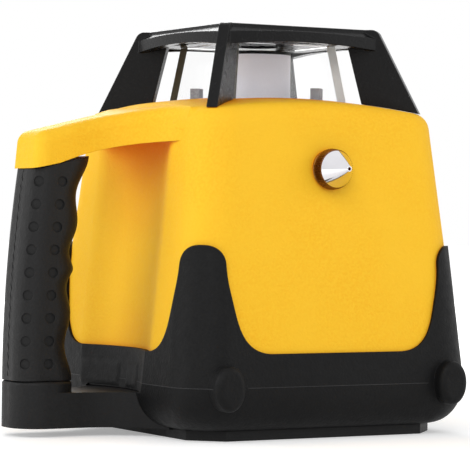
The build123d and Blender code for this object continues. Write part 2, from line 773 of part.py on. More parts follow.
def make_base_plate():
    plate = extrude(Rectangle(2 * PLATE_HALF, 2 * PLATE_HALF), PLATE_THICK)
    plate = chamfer(plate.edges().filter_by(Axis.Z), PLATE_CUT)
    plate -= drum(INSERT_R + SEAT_GAP, -OVERCUT, PLATE_THICK + OVERCUT)
    for x in (-BASE_SCREW_AT, BASE_SCREW_AT):
        for y in (-BASE_SCREW_AT, BASE_SCREW_AT):
            plate -= drum(BASE_SCREW_R + SEAT_GAP, -OVERCUT, PLATE_THICK + OVERCUT, x, y)
            plate -= drum(BASE_SCREW_HEAD_R + SEAT_GAP, -OVERCUT, BASE_SCREW_HEAD + SEAT_GAP, x, y)
    return plate


def make_base_screws():
    screws = []
    for x in (-BASE_SCREW_AT, BASE_SCREW_AT):
        for y in (-BASE_SCREW_AT, BASE_SCREW_AT):
            head = drum(BASE_SCREW_HEAD_R, SEAT_GAP, BASE_SCREW_HEAD, x, y)
            screws.append(head + drum(BASE_SCREW_R, BASE_SCREW_HEAD - WELD, BASE_SCREW_LENGTH, x, y))
    return Compound(screws)


def make_tripod_insert():
    floor_top = PLATE_THICK + CHASSIS_FLOOR
    top = max(THREAD_DEPTH + INSERT_ROOF, floor_top + INSERT_FLANGE + OVERCUT)
    body = drum(INSERT_R, 0, top) + drum(INSERT_FLANGE_R, floor_top, floor_top + INSERT_FLANGE)
    return body - drum(THREAD_R, -OVERCUT, THREAD_DEPTH)


def make_handle_core():
    low = CORE_SOCKET - SEAT_GAP
    high = core_top() - SEAT_GAP
    core = core_line() * Pos(0, 0, (high - low) / 2) * Cylinder(CORE_R, high + low)
    bolt_end = LOW_ARM_BOTTOM + BOLT_HEAD + BOLT_REACH
    return core - drum(BOLT_R + PRESS_PLAY, 0, bolt_end + OVERCUT, bolt_place())


def make_handle_bolt():
    x = bolt_place()
    neck = LOW_ARM_BOTTOM + BOLT_HEAD
    head = drum(BOLT_HEAD_R, LOW_ARM_BOTTOM + LOOSE_GAP, neck, x)
    return head + drum(BOLT_R, neck - WELD, neck + BOLT_REACH, x)


def grip_section(z, swell):
    """Section of the grip at height z, swollen towards the fingers."""
    depth = GRIP_DEPTH + swell
    return Pos(grip_back(z) + depth / 2, 0, z) * RectangleRounded(depth, 2 * GRIP_HALF_WIDTH, GRIP_ROUND)


def grip_pits():
    """Round pits in each side of the grip: a column on the flat and one on the rounded back edge."""
    turn_x = math.sin(math.radians(PIT_TURN))
    turn_y = math.cos(math.radians(PIT_TURN))
    edge_x = GRIP_ROUND * (1 - turn_x)
    edge_y = GRIP_HALF_WIDTH - GRIP_ROUND * (1 - turn_y)
    pits = []
    for row in range(PIT_ROWS):
        z = PIT_LOW_Z + row * PIT_PITCH
        for side in (-1, 1):
            flat = Plane(origin=(grip_back(z) + PIT_INSET, side * GRIP_HALF_WIDTH, z), z_dir=(0, side, 0))
            out = (-turn_x, side * turn_y, 0)
            edge = Plane(origin=(grip_back(z) + edge_x, side * edge_y, z), z_dir=out)
            pits += [flat * Cylinder(PIT_R, 2 * PIT_DEPTH), edge * Cylinder(PIT_R, 2 * PIT_DEPTH)]
    return pits


def make_handle_grip():
    low = PEDESTAL_TOP + LOOSE_GAP
    ripples = [SCALLOP_RISE * (-1) ** step for step in range(-1, 2 * SCALLOP_COUNT)]
    flared_end = [GRIP_FLARE] * 4
    sections = []
    for step, swell in enumerate(flared_end + ripples + flared_end, start=-5):
        sections.append(grip_section(SCALLOP_PEAK_Z + step * SCALLOP_PITCH / 2, swell))
    slope = Plane(origin=(ARM_END_X, 0, ARM_END_UNDER - LOOSE_GAP), z_dir=(-ARM_SLOPE, 0, 1))
    grip = loft(sections) - slope * Pos(0, 0, FAR / 2) * Box(FAR, FAR, FAR)
    grip -= block(-FAR, 0, -FAR, FAR, -FAR, low)
    grip -= core_line() * Cylinder(CORE_R + SEAT_GAP, 3 * core_top())
    return grip - grip_pits()


def radial(half, z):
    """Point on the diagonal fin plane."""
    return (half * math.sqrt(2), z)


def make_guard_cage():
    def slide(half_low, z_low, half_high, z_high, z):
        return half_low + (half_high - half_low) * (z - z_low) / (z_high - z_low)

    foot = DOME_TOP - 2 * FIN_FOOT_DROP
    outer_foot = slide(FIN_FOOT_HALF, DOME_TOP - FIN_FOOT_DROP, FIN_TOP_HALF, ROOF_TOP, foot)
    inner_foot = slide(
        FIN_INNER_FOOT_HALF, DOME_TOP - FIN_INNER_FOOT_DROP, FIN_INNER_TOP_HALF, ROOF_UNDER, foot
    )
    corners = [
        radial(outer_foot, foot),
        radial(FIN_TOP_HALF, ROOF_TOP),
        radial(FIN_INNER_TOP_HALF, ROOF_TOP),
        radial(FIN_INNER_TOP_HALF, ROOF_UNDER),
        radial(inner_foot, foot),
    ]
    fin = extrude(Plane.XZ * make_face(Polyline(*corners, close=True)), FIN_THICK / 2, both=True)

    bowed = LIP_HALF + LIP_BOW
    end_low = ROOF_TOP - LIP_END_DROP
    mid_low = ROOF_TOP - LIP_MID_DROP
    end_high = end_low + LIP_END_HEIGHT
    low_arc = ThreePointArc((-LIP_HALF, end_low), (0, mid_low), (LIP_HALF, end_low))
    high_arc = ThreePointArc((-LIP_HALF, end_high), (0, mid_low + LIP_MID_HEIGHT), (LIP_HALF, end_high))
    ends = [Line((side * LIP_HALF, end_low), (side * LIP_HALF, end_high)) for side in (-1, 1)]
    elevation = extrude(Plane.XZ * make_face([low_arc, high_arc] + ends), FAR)
    outer_line = ThreePointArc((-LIP_HALF, -LIP_HALF), (0, -bowed), (LIP_HALF, -LIP_HALF))
    inner = LIP_HALF - LIP_THICK
    strip = make_face(
        [
            outer_line,
            Line((-LIP_HALF, -LIP_HALF), (-inner, -inner)),
            Line((-inner, -inner), (inner, -inner)),
            Line((inner, -inner), (LIP_HALF, -LIP_HALF)),
        ]
    )
    lip = elevation & extrude(strip, FAR)

    plate = extrude(Pos(0, 0, ROOF_UNDER) * Rectangle(2 * ROOF_HALF, 2 * ROOF_HALF), ROOF_TOP - ROOF_UNDER)
    brim_low = Pos(0, 0, end_high) * Rectangle(2 * LIP_HALF, 2 * LIP_HALF)
    brim_high = Pos(0, 0, ROOF_TOP - ROOF_EDGE) * Rectangle(2 * ROOF_HALF, 2 * ROOF_HALF)
    cage = plate + loft([brim_low, brim_high], ruled=True)
    for turn in range(4):
        cage += Rot(0, 0, 90 * turn) * lip
        cage += Rot(0, 0, 45 + 90 * turn) * fin
    cage -= dome(-SEAT_GAP)
    cage -= drum(TOP_WINDOW_R - TOP_WINDOW_LEDGE, ROOF_UNDER - OVERCUT, ROOF_TOP + OVERCUT)
    window_low = ROOF_TOP - TOP_WINDOW_THICK - PANE_GAP
    return cage - drum(TOP_WINDOW_R + PRESS_PLAY, window_low, ROOF_TOP + OVERCUT)


def make_top_window():
    return drum(TOP_WINDOW_R, ROOF_TOP - TOP_WINDOW_THICK - PANE_GAP, ROOF_TOP - PANE_GAP)


def make_pane(turn):
    """One sloped pane with mitred sides, turned about the axis."""
    top = ROOF_UNDER - PANE_GAP
    outside = tapered_square(PANE_LOW_Z, pane_half(PANE_LOW_Z), top, pane_half(top))
    inside = tapered_square(
        PANE_LOW_Z, pane_half(PANE_LOW_Z) - PANE_THICK, top, pane_half(top) - PANE_THICK
    )
    reach = 2 * PANE_LOW_HALF
    wedge = make_face(
        Polyline((0, -PANE_GAP), (-reach, -reach - PANE_GAP), (reach, -reach - PANE_GAP), close=True)
    )
    return Rot(0, 0, 90 * turn) * ((outside - inside) & extrude(wedge, FAR))


def tapered_square(z_low, half_low, z_high, half_high):
    """Sharp-edged tapered block between two heights."""
    sections = [
        Pos(0, 0, z_low) * Rectangle(2 * half_low, 2 * half_low),
        Pos(0, 0, z_high) * Rectangle(2 * half_high, 2 * half_high),
    ]
    return loft(sections, ruled=True)


def make_window_seat():
    floor_top = PANE_LOW_Z - SEAT_GAP
    floor_low = floor_top - SEAT_FLOOR
    wall_in = PANE_LOW_HALF + 2 * SEAT_GAP
    wall_out = wall_in + SEAT_WALL
    walls = extrude(square_at(floor_low, wall_out, 2 * PANE_CORNER), FAR / 10)
    walls -= extrude(square_at(floor_top, wall_in, PANE_CORNER), FAR / 10)
    walls = walls & dome(HOUSE_WALL + SEAT_GAP)
    return walls - drum(SEAT_BORE_R, floor_low - OVERCUT, floor_top + OVERCUT)


def make_lantern_posts():
    foot = PANE_LOW_Z - SEAT_GAP
    posts = []
    for sign in (-1, 1):
        height = DOME_TOP + POST_RISE - foot
        post = Box(POST_DEPTH, POST_WIDTH, height, align=(Align.CENTER, Align.CENTER, Align.MIN))
        posts.append(Pos(sign * POST_AT, -sign * POST_AT, foot) * Rot(0, 0, -45) * post)
    return Compound(posts)


def foot_seat():
    """Y of the flat face that the foot's bush flange rests on."""
    return -house_half(FOOT_Z) + FOOT_SPOT


def make_foot_bush():
    seat = foot_seat()
    body = rod_y(BUSH_FLANGE_R, seat - BUSH_FLANGE, seat, 0, FOOT_Z)
    body += rod_y(BUSH_R, seat - WELD, seat + BUSH_DEPTH, 0, FOOT_Z)
    return body - rod_y(FOOT_STUD_R + PIVOT_PLAY, seat - FAR / 8, seat + FAR / 8, 0, FOOT_Z)


def collar_back():
    """Y of the back of the foot's knurled collar."""
    return foot_seat() - BUSH_FLANGE - FOOT_SEAL - 2 * FOOT_GAP


def make_foot_seal():
    front = collar_back() + FOOT_GAP
    ring = rod_y(FOOT_SEAL_R, front, front + FOOT_SEAL, 0, FOOT_Z)
    return ring - rod_y(FOOT_STUD_R + PIVOT_PLAY, front - OVERCUT, front + FOOT_SEAL + OVERCUT, 0, FOOT_Z)


def make_levelling_foot():
    back = collar_back()
    collar_front = back - FOOT_COLLAR
    stud_end = foot_seat() + FOOT_TRAVEL + FOOT_ENGAGE
    outline = make_face(
        Polyline(
            (0, stud_end),
            (FOOT_STUD_R, stud_end),
            (FOOT_STUD_R, back),
            (FOOT_COLLAR_R - FOOT_CHAMFER, back),
            (FOOT_COLLAR_R, back - FOOT_CHAMFER),
            (FOOT_COLLAR_R, collar_front + FOOT_CHAMFER),
            (FOOT_COLLAR_R - FOOT_CHAMFER, collar_front),
            (FOOT_CONE_R, collar_front),
            (FOOT_TIP_R, -REST_PLANE),
            (0, -REST_PLANE),
            close=True,
        )
    )
    return Pos(0, 0, FOOT_Z) * revolve(outline, Axis.Y)


def make_gimbal_frame():
    floor_top = PLATE_THICK + CHASSIS_FLOOR
    plate_top = FRAME_PLATE_Z + FRAME_PLATE
    plate = extrude(
        Pos(0, 0, FRAME_PLATE_Z) * RectangleRounded(2 * FRAME_HALF_X, 2 * FRAME_HALF_Y, FRAME_CORNER),
        FRAME_PLATE,
    )
    plate -= drum(FRAME_BORE_R, FRAME_PLATE_Z - OVERCUT, plate_top + OVERCUT)
    drive_plate = extrude(
        Pos(0, 0, DRIVE_PLATE_Z) * RectangleRounded(2 * DRIVE_HALF_X, 2 * (LEG_Y + LEG_R), LEG_R),
        DRIVE_PLATE,
    )
    frame = plate + drive_plate
    for x in (-LEG_X, LEG_X):
        for y in (-LEG_Y, LEG_Y):
            frame += drum(LEG_R, floor_top, FRAME_PLATE_Z + WELD, x, y)
    lug_in = RING_R + LUG_GAP
    for side in (-1, 1):
        near = min(side * lug_in, side * (lug_in + LUG_THICK))
        far = max(side * lug_in, side * (lug_in + LUG_THICK))
        frame += block(near, far, -LUG_HALF, LUG_HALF, plate_top - WELD, PIVOT_Z + LUG_RISE)
    frame -= rod_x(PIVOT_R + PRESS_PLAY, -FAR, FAR, 0, PIVOT_Z)

    start = DRIVE_HALF_X
    end = TILT_SCREW_OFFSET - OVERCUT
    deck = DRIVE_PLATE_Z + DRIVE_PLATE - WELD
    cradle_x = block(
        -start, -end, TILT_SCREW_OFFSET - CRADLE_HALF, TILT_SCREW_OFFSET + CRADLE_HALF,
        deck, TILT_NUT_X_Z - CRADLE_DROP,
    )
    cradle_y = block(
        -TILT_SCREW_OFFSET - CRADLE_HALF, -TILT_SCREW_OFFSET + CRADLE_HALF, -start, -end,
        deck, TILT_NUT_Y_Z - CRADLE_DROP,
    )
    frame += cradle_x - rod_x(TILT_MOTOR_R + SEAT_GAP, -FAR, FAR, TILT_SCREW_OFFSET, TILT_NUT_X_Z)
    frame += cradle_y - rod_y(TILT_MOTOR_R + SEAT_GAP, -FAR, FAR, -TILT_SCREW_OFFSET, TILT_NUT_Y_Z)
    return frame


def make_gimbal_pins():
    lug_out = RING_R + LUG_GAP + LUG_THICK
    pin = rod_x(PIVOT_R, RING_BORE_R + WELD, lug_out + WELD, 0, PIVOT_Z)
    pin += rod_x(PIN_HEAD_R, lug_out + SEAT_GAP, lug_out + PIN_HEAD, 0, PIVOT_Z)
    return Compound([pin, Rot(0, 0, 180) * pin])


def make_gimbal_ring():
    ring = drum(RING_R, PIVOT_Z - RING_HEIGHT / 2, PIVOT_Z + RING_HEIGHT / 2)
    ring -= drum(RING_BORE_R, 0, FAR)
    ring -= rod_x(PIVOT_R + PIVOT_PLAY, -FAR, FAR, 0, PIVOT_Z)
    return ring - rod_y(PIVOT_R + PIVOT_PLAY, -FAR, FAR, 0, PIVOT_Z)


def make_barrel_pins():
    pin = rod_y(PIVOT_R, BARREL_BORE_R + OVERCUT, BARREL_PIN_END, 0, PIVOT_Z)
    return Compound([pin, Rot(0, 0, 180) * pin])


def bracket_low():
    """Underside of the spin motor's bracket on the barrel."""
    return PIVOT_Z + COLLAR_HALF


def make_laser_barrel():
    tube = drum(BARREL_R, BARREL_LOW, BARREL_TOP)
    tube += drum(COLLAR_R, PIVOT_Z - COLLAR_HALF, PIVOT_Z + COLLAR_HALF)
    shelf = block(-BRACKET_HALF, BRACKET_HALF, 0, MOTOR_Y, bracket_low(), bracket_low() + BRACKET)
    shelf += drum(MOTOR_R + BRACKET_RIM, bracket_low(), bracket_low() + BRACKET, 0, MOTOR_Y)
    tube += shelf
    tube -= drum(BARREL_BORE_R, 0, FAR)
    return tube - rod_y(PIVOT_R + PRESS_PLAY, -BARREL_PIN_END, BARREL_PIN_END, 0, PIVOT_Z)


def make_laser_module():
    body = drum(BARREL_BORE_R - PIVOT_PLAY, BARREL_LOW - WELD, BARREL_LOW + MODULE_HEIGHT)
    body += drum(MODULE_FLANGE_R, BARREL_LOW - MODULE_FLANGE, BARREL_LOW - SEAT_GAP)
    body += drum(DIODE_R, BARREL_LOW, BARREL_LOW + MODULE_HEIGHT + DIODE_RISE)
    return body + drum(STEER_PIN_R, PIVOT_Z - STEER_PIN_DROP, BARREL_LOW - WELD)


def make_collimator_lens():
    low = PIVOT_Z - LENS_DROP
    top = low + LENS_THICK
    disc = drum(BARREL_BORE_R - PIVOT_PLAY, low, top)
    return disc & Pos(0, 0, top - LENS_CURVE) * Sphere(LENS_CURVE)


def make_shaft_bearings():
    rings = []
    for low in (BEARING_LOW_Z, BARREL_TOP - BEARING_WIDTH):
        ring = drum(BARREL_BORE_R - PRESS_PLAY, low, low + BEARING_WIDTH)
        rings.append(ring - drum(SHAFT_R + SHAFT_PLAY, 0, FAR))
    return Compound(rings)


def make_head_shaft():
    return drum(SHAFT_R, PIVOT_Z + SHAFT_RISE, HEAD_LOW + HEAD_FLOOR) - drum(SHAFT_BORE_R, 0, FAR)


def grooved_pulley(groove_r, x=0.0, y=0.0):
    """Belt pulley with two flanges."""
    top = PULLEY_Z + PULLEY_HEIGHT
    wheel = drum(groove_r, PULLEY_Z, top, x, y)
    wheel += drum(groove_r + GROOVE_DEPTH, PULLEY_Z, PULLEY_Z + PULLEY_FLANGE, x, y)
    return wheel + drum(groove_r + GROOVE_DEPTH, top - PULLEY_FLANGE, top, x, y)


def make_head_pulley():
    return grooved_pulley(HEAD_GROOVE_R) - drum(SHAFT_R + PRESS_PLAY, 0, FAR)


def make_motor_pulley():
    wheel = grooved_pulley(HEAD_GROOVE_R / DRIVE_RATIO, 0, MOTOR_Y)
    top = bracket_low() + BRACKET + MOTOR_HEIGHT
    shaft_end = PULLEY_Z + PULLEY_HEIGHT + OVERCUT
    return wheel + drum(MOTOR_SHAFT_R, top - MOTOR_SHAFT_REACH, shaft_end, 0, MOTOR_Y)


def make_spin_motor():
    low = bracket_low() + BRACKET
    body = drum(MOTOR_R, low, low + MOTOR_HEIGHT, 0, MOTOR_Y)
    bore_low = low + MOTOR_HEIGHT - MOTOR_SHAFT_REACH - OVERCUT
    return body - drum(MOTOR_SHAFT_R + SHAFT_PLAY, bore_low, FAR, 0, MOTOR_Y)


def make_drive_belt():
    head_r = HEAD_GROOVE_R + BELT_PLAY
    motor_r = HEAD_GROOVE_R / DRIVE_RATIO + BELT_PLAY
    inner = make_hull(Circle(head_r).edges() + (Pos(0, MOTOR_Y) * Circle(motor_r)).edges())
    outer = make_hull(
        Circle(head_r + BELT_THICK).edges() + (Pos(0, MOTOR_Y) * Circle(motor_r + BELT_THICK)).edges()
    )
    low = PULLEY_Z + PULLEY_FLANGE + BELT_PLAY
    return extrude(Pos(0, 0, low) * (outer - inner), PULLEY_HEIGHT - 2 * PULLEY_FLANGE - 2 * BELT_PLAY)


def make_head_housing():
    body = drum(HEAD_R, HEAD_LOW, HEAD_TOP)
    body -= drum(HEAD_R - HEAD_WALL, HEAD_LOW + HEAD_FLOOR, FAR)
    body -= drum(SHAFT_R + PRESS_PLAY, 0, FAR)
    return body - rod_y(APERTURE_R, 0, FAR, 0, beam_z())


def beam_z():
    """Height of the sideways beam, through the middle of the prism's exit face."""
    return HEAD_LOW + HEAD_FLOOR + PRISM_SIDE / 2


def make_head_cap():
    return drum(HEAD_R, HEAD_TOP, HEAD_TOP + HEAD_CAP) - drum(HEAD_CAP_BORE_R, 0, FAR)


def make_aperture_glass():
    middle = HEAD_R - HEAD_WALL
    half = APERTURE_GLASS / 2
    return rod_y(APERTURE_R - PIVOT_PLAY, middle - half, middle + half, 0, beam_z())


def make_pentaprism():
    """Five-sided prism: beam in from below, out towards +Y."""
    turn = math.radians(22.5)
    slant = PRISM_SIDE / math.cos(turn)
    low = HEAD_LOW + HEAD_FLOOR + PIVOT_PLAY
    half = PRISM_SIDE / 2
    corners = [
        (-half, low),
        (half, low),
        (half, low + PRISM_SIDE),
        (half - slant * math.cos(turn), low + PRISM_SIDE + slant * math.sin(turn)),
        (-half - slant * math.sin(turn), low + slant * math.cos(turn)),
    ]
    return extrude(Plane.YZ * make_face(Polyline(*corners, close=True)), half, both=True)


def make_level_sensors():
    out = BARREL_R + SENSOR_R + PIVOT_PLAY
    half = SENSOR_LENGTH / 2
    z = PIVOT_Z - SENSOR_DROP
    return Compound([rod_x(SENSOR_R, -half, half, -out, z), rod_y(SENSOR_R, -half, half, out, z)])


def along_x(shape):
    """Keeps a levelling drive part as drawn, with its screw along X."""
    return Pos(0, TILT_SCREW_OFFSET, TILT_NUT_X_Z) * shape


def along_y(shape):
    """Turns a levelling drive part so that its screw runs along Y."""
    return Pos(-TILT_SCREW_OFFSET, 0, TILT_NUT_Y_Z) * Rot(0, 0, 90) * shape


def tilt_motor():
    """Motor body with its screw axis along X, its face one offset short of the middle."""
    front = -TILT_SCREW_OFFSET + TILT_FACE_SETBACK
    body = rod_x(TILT_MOTOR_R, front - TILT_MOTOR_LENGTH, front)
    return body - rod_x(TILT_SCREW_R + SHAFT_PLAY, front - TILT_SHAFT_REACH - OVERCUT, front + OVERCUT)


def tilt_travel(lever):
    """Travel of a steering nut for the full tilt."""
    return lever * math.tan(math.radians(TILT_DEG))


def tilt_screw(lever):
    """Lead screw along X, from inside the motor to past the nut's travel."""
    front = -TILT_SCREW_OFFSET + TILT_FACE_SETBACK
    end = TILT_NUT / 2 + tilt_travel(lever) + SCREW_END_PLAY / 2
    return rod_x(TILT_SCREW_R, front - TILT_SHAFT_REACH, end)


def tilt_nut():
    """Nut on the screw with a fork that takes the steering pin, fork towards -Y."""
    half = TILT_NUT / 2
    body = Box(TILT_NUT, TILT_NUT, TILT_NUT)
    tip = -TILT_SCREW_OFFSET - STEER_PIN_R - TILT_NUT / 2
    fork = block(-FORK_HALF, FORK_HALF, tip, -half + WELD, -FORK_THICK / 2, FORK_THICK / 2)
    slot = STEER_PIN_R + FORK_PLAY
    slot_end = -TILT_SCREW_OFFSET + STEER_PIN_R + TILT_NUT / 2
    fork -= block(-slot, slot, tip - OVERCUT, slot_end, -FORK_THICK, FORK_THICK)
    return body + fork - rod_x(TILT_SCREW_R + SHAFT_PLAY, -FAR, FAR)


def panel_hole(grow):
    """Key outline, widened by a gap."""
    return RectangleRounded(KEY_W + 2 * grow, KEY_H + 2 * grow, KEY_ROUND + grow)


def key_places():
    """Name and place of each key on the panel, left to right and top to bottom."""
    names = ["key_power", "key_mode", "key_speed", "key_left", "key_scan", "key_right"]
    places = {}
    for index, name in enumerate(names):
        column = index % 3 - 1
        row = 0.5 - index // 3
        places[name] = (column * KEY_PITCH_X, row * KEY_PITCH_Y)
    return places


def board_depth():
    """Depth of the keypad board's front below the panel's face."""
    key_back = 2 * PANEL_THICK + PANEL_GAP + KEY_FLANGE + KEY_STEM
    return key_back + KEY_TRAVEL + KEY_GAP + SWITCH_HEIGHT


def standoff_places():
    """Posts between the key columns that carry the keypad board."""
    return [(x * KEY_PITCH_X / 2, y * STANDOFF_Y) for x in (-1, 1) for y in (-1, 1)]


def make_keypad_panel():
    plane = face_plane("+Y", 0, PANEL_Z)
    back_w = PANEL_W - 2 * PANEL_LEDGE
    back_h = PANEL_H - 2 * PANEL_LEDGE
    panel = slab(plane, PANEL_W, PANEL_H, -PANEL_THICK, 0)
    panel += slab(plane, back_w, back_h, -2 * PANEL_THICK, -PANEL_THICK)
    for x, y in key_places().values():
        panel -= plane * Pos(x, y, -THROUGH) * extrude(panel_hole(KEY_GAP), 2 * THROUGH)
    for x, y in standoff_places():
        panel += peg(plane, x, y, STANDOFF_R, -board_depth(), -2 * PANEL_THICK + WELD)
    return panel


def make_key(place):
    plane = face_plane("+Y", 0, PANEL_Z)
    flange_top = -2 * PANEL_THICK - PANEL_GAP
    flange_low = flange_top - KEY_FLANGE
    cap = extrude(Pos(0, 0, flange_top - WELD) * panel_hole(0), KEY_PROUD - flange_top + WELD)
    cap = fillet(cap.edges().group_by(Axis.Z)[-1], KEY_PROUD / 2)
    flange = extrude(Pos(0, 0, flange_low) * panel_hole(KEY_RIM), KEY_FLANGE)
    stem = drum(KEY_STEM_R, flange_low - KEY_STEM, flange_low + WELD)
    return plane * Pos(place[0], place[1], 0) * (cap + flange + stem)


def make_keypad_board():
    plane = face_plane("+Y", 0, PANEL_Z)
    depth = board_depth()
    board = slab(plane, PANEL_W - 3 * PANEL_LEDGE, PANEL_H - 3 * PANEL_LEDGE, -depth - BOARD_THICK, -depth)
    for x, y in key_places().values():
        board += peg(plane, x, y, SWITCH_R, -depth - WELD, -depth + SWITCH_HEIGHT)
    return board


def make_charge_socket():
    plane = face_plane("+Y", FLAP_X, FLAP_Z)
    wall = HOUSE_WALL + SKIRT_STEP / 2
    body = peg(plane, 0, 0, SOCKET_R, -SOCKET_DEPTH, -DOOR_THICK - 2 * FLAP_GAP)
    body += peg(plane, 0, 0, SOCKET_FLANGE_R, -wall - SOCKET_FLANGE, -wall - SEAT_GAP)
    floor = -SOCKET_DEPTH + SOCKET_FLOOR
    body -= peg(plane, 0, 0, SOCKET_BORE_R, floor, 0)
    return body + peg(plane, 0, 0, SOCKET_PIN_R, floor - WELD, -DOOR_THICK - SOCKET_FLOOR)


def cell_places():
    """Middle of each cell, two columns by two rows, seen along Y."""
    first = LEG_X + LEG_R + HOLDER_WALL + CELL_R + CELL_GAP
    low = HOLDER_Z + HOLDER_WALL + CELL_R + CELL_GAP
    step = 2 * (CELL_R + CELL_GAP)
    return [(first + step * i, low + (step + HOLDER_WALL) * j) for i in range(2) for j in range(2)]


def make_battery_holder():
    back = LEG_X + LEG_R + PRESS_PLAY
    bay = 2 * (CELL_R + CELL_GAP)
    front = back + HOLDER_WALL + 2 * bay - CELL_R
    half = CELL_LENGTH / 2 + CELL_NUB + CELL_GAP + HOLDER_WALL
    top = HOLDER_Z + 2 * bay + 3 * HOLDER_WALL
    case = block(back, front, -half, half, HOLDER_Z, top)
    case += block(back, back + HOLDER_WALL, -HOLDER_EAR_HALF, HOLDER_EAR_HALF, HOLDER_Z, top)
    for row in range(2):
        low = HOLDER_Z + HOLDER_WALL + row * (bay + HOLDER_WALL)
        case -= block(back + HOLDER_WALL, FAR, -half + HOLDER_WALL, half - HOLDER_WALL, low, low + bay)
    return case


def make_battery_cells():
    cells = []
    half = CELL_LENGTH / 2
    for index, (x, z) in enumerate(cell_places()):
        cell = rod_y(CELL_R, -half, half, x, z)
        if index % 2:
            cells.append(cell + rod_y(CELL_NUB_R, half - WELD, half + CELL_NUB, x, z))
        else:
            cells.append(cell + rod_y(CELL_NUB_R, -half - CELL_NUB, -half + WELD, x, z))
    return Compound(cells)


def make_main_board():
    near = -LEG_Y - LEG_R - PRESS_PLAY
    board_low = PIVOT_Z - MAIN_LOW_DROP
    board_top = PIVOT_Z - MAIN_TOP_DROP
    board = block(-MAIN_HALF_X, MAIN_HALF_X, near - BOARD_THICK, near, board_low, board_top)
    third = MAIN_HALF_X / 3
    for column in (-2, 0, 2):
        x = column * third
        low = board_low + third
        front = near - 2 * BOARD_THICK
        board += block(x - third / 2, x + third / 2, front, near - BOARD_THICK / 2, low, low + third)
    return board


PARTS = {
    "upper_housing": make_upper_housing(),
    "housing_gasket": make_housing_gasket(),
    "lower_chassis": make_lower_chassis(),
    "rubber_boot": make_rubber_boot(),
    "base_plate": make_base_plate(),
    "base_screws": make_base_screws(),
    "tripod_insert": make_tripod_insert(),
    "handle_grip": make_handle_grip(),
    "handle_core": make_handle_core(),
    "handle_bolt": make_handle_bolt(),
    "guard_cage": make_guard_cage(),
    "top_window": make_top_window(),
    "window_front": make_pane(0),
    "window_right": make_pane(1),
    "window_rear": make_pane(2),
    "window_left": make_pane(3),
    "window_seat": make_window_seat(),
    "lantern_posts": make_lantern_posts(),
    "levelling_foot": make_levelling_foot(),
    "foot_seal": make_foot_seal(),
    "foot_bush": make_foot_bush(),
    "gimbal_frame": make_gimbal_frame(),
    "gimbal_pins": make_gimbal_pins(),
    "gimbal_ring": make_gimbal_ring(),
    "barrel_pins": make_barrel_pins(),
    "laser_barrel": make_laser_barrel(),
    "laser_module": make_laser_module(),
    "collimator_lens": make_collimator_lens(),
    "shaft_bearings": make_shaft_bearings(),
    "level_sensors": make_level_sensors(),
    "spin_motor": make_spin_motor(),
    "motor_pulley": make_motor_pulley(),
    "drive_belt": make_drive_belt(),
    "head_pulley": make_head_pulley(),
    "head_shaft": make_head_shaft(),
    "head_housing": make_head_housing(),
    "head_cap": make_head_cap(),
    "pentaprism": make_pentaprism(),
    "aperture_glass": make_aperture_glass(),
    "tilt_motor_x": along_x(tilt_motor()),
    "tilt_motor_y": along_y(tilt_motor()),
    "tilt_screw_x": along_x(tilt_screw(PIVOT_Z - TILT_NUT_X_Z)),
    "tilt_screw_y": along_y(tilt_screw(PIVOT_Z - TILT_NUT_Y_Z)),
    "tilt_nut_x": along_x(tilt_nut()),
    "tilt_nut_y": along_y(tilt_nut()),
    "keypad_panel": make_keypad_panel(),
    "keypad_board": make_keypad_board(),
    "battery_door": flap_body(face_plane("+X", 0, DOOR_Z), DOOR_W, DOOR_H),
    "battery_holder": make_battery_holder(),
    "battery_cells": make_battery_cells(),
    "charge_socket": make_charge_socket(),
    "charge_cap": flap_body(face_plane("+Y", FLAP_X, FLAP_Z), FLAP_W, FLAP_H),
    "main_board": make_main_board(),
}
for key_name, key_place in key_places().items():
    PARTS[key_name] = make_key(key_place)

os.makedirs("parts", exist_ok=True)
for node, shape in PARTS.items():
    export_step(shape, f"parts/{node}.step")
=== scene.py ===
import json
import math

import bmesh
import bpy
import numpy as np
from mathutils import Matrix, Vector
from mathutils.bvhtree import BVHTree


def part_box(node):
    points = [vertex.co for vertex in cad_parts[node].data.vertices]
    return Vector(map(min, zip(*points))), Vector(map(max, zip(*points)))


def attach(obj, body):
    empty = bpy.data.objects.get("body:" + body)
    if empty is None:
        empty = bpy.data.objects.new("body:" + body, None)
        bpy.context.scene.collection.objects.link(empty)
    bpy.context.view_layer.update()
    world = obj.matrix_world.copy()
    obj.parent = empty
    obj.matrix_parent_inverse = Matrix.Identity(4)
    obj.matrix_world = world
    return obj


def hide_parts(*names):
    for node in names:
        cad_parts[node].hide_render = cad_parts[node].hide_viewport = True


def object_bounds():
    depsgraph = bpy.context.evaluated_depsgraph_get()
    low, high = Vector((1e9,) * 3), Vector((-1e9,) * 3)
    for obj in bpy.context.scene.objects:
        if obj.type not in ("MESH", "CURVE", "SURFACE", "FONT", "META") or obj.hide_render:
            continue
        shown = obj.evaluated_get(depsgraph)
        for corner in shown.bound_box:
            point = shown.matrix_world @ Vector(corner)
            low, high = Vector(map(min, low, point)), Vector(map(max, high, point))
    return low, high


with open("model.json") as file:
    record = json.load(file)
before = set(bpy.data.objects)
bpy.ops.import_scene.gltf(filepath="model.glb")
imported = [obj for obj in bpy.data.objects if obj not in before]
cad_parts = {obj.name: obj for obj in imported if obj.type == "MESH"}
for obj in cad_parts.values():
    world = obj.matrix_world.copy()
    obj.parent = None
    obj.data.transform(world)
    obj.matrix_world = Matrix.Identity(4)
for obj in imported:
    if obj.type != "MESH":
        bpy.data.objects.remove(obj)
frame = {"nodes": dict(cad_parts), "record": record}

# The solids' box, a millimetre in metres, how far outside the object rays start, and the way down
CAD_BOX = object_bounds()
MM = 0.001
FAR = 1.0
DOWN = Vector((0.0, 0.0, -1.0))

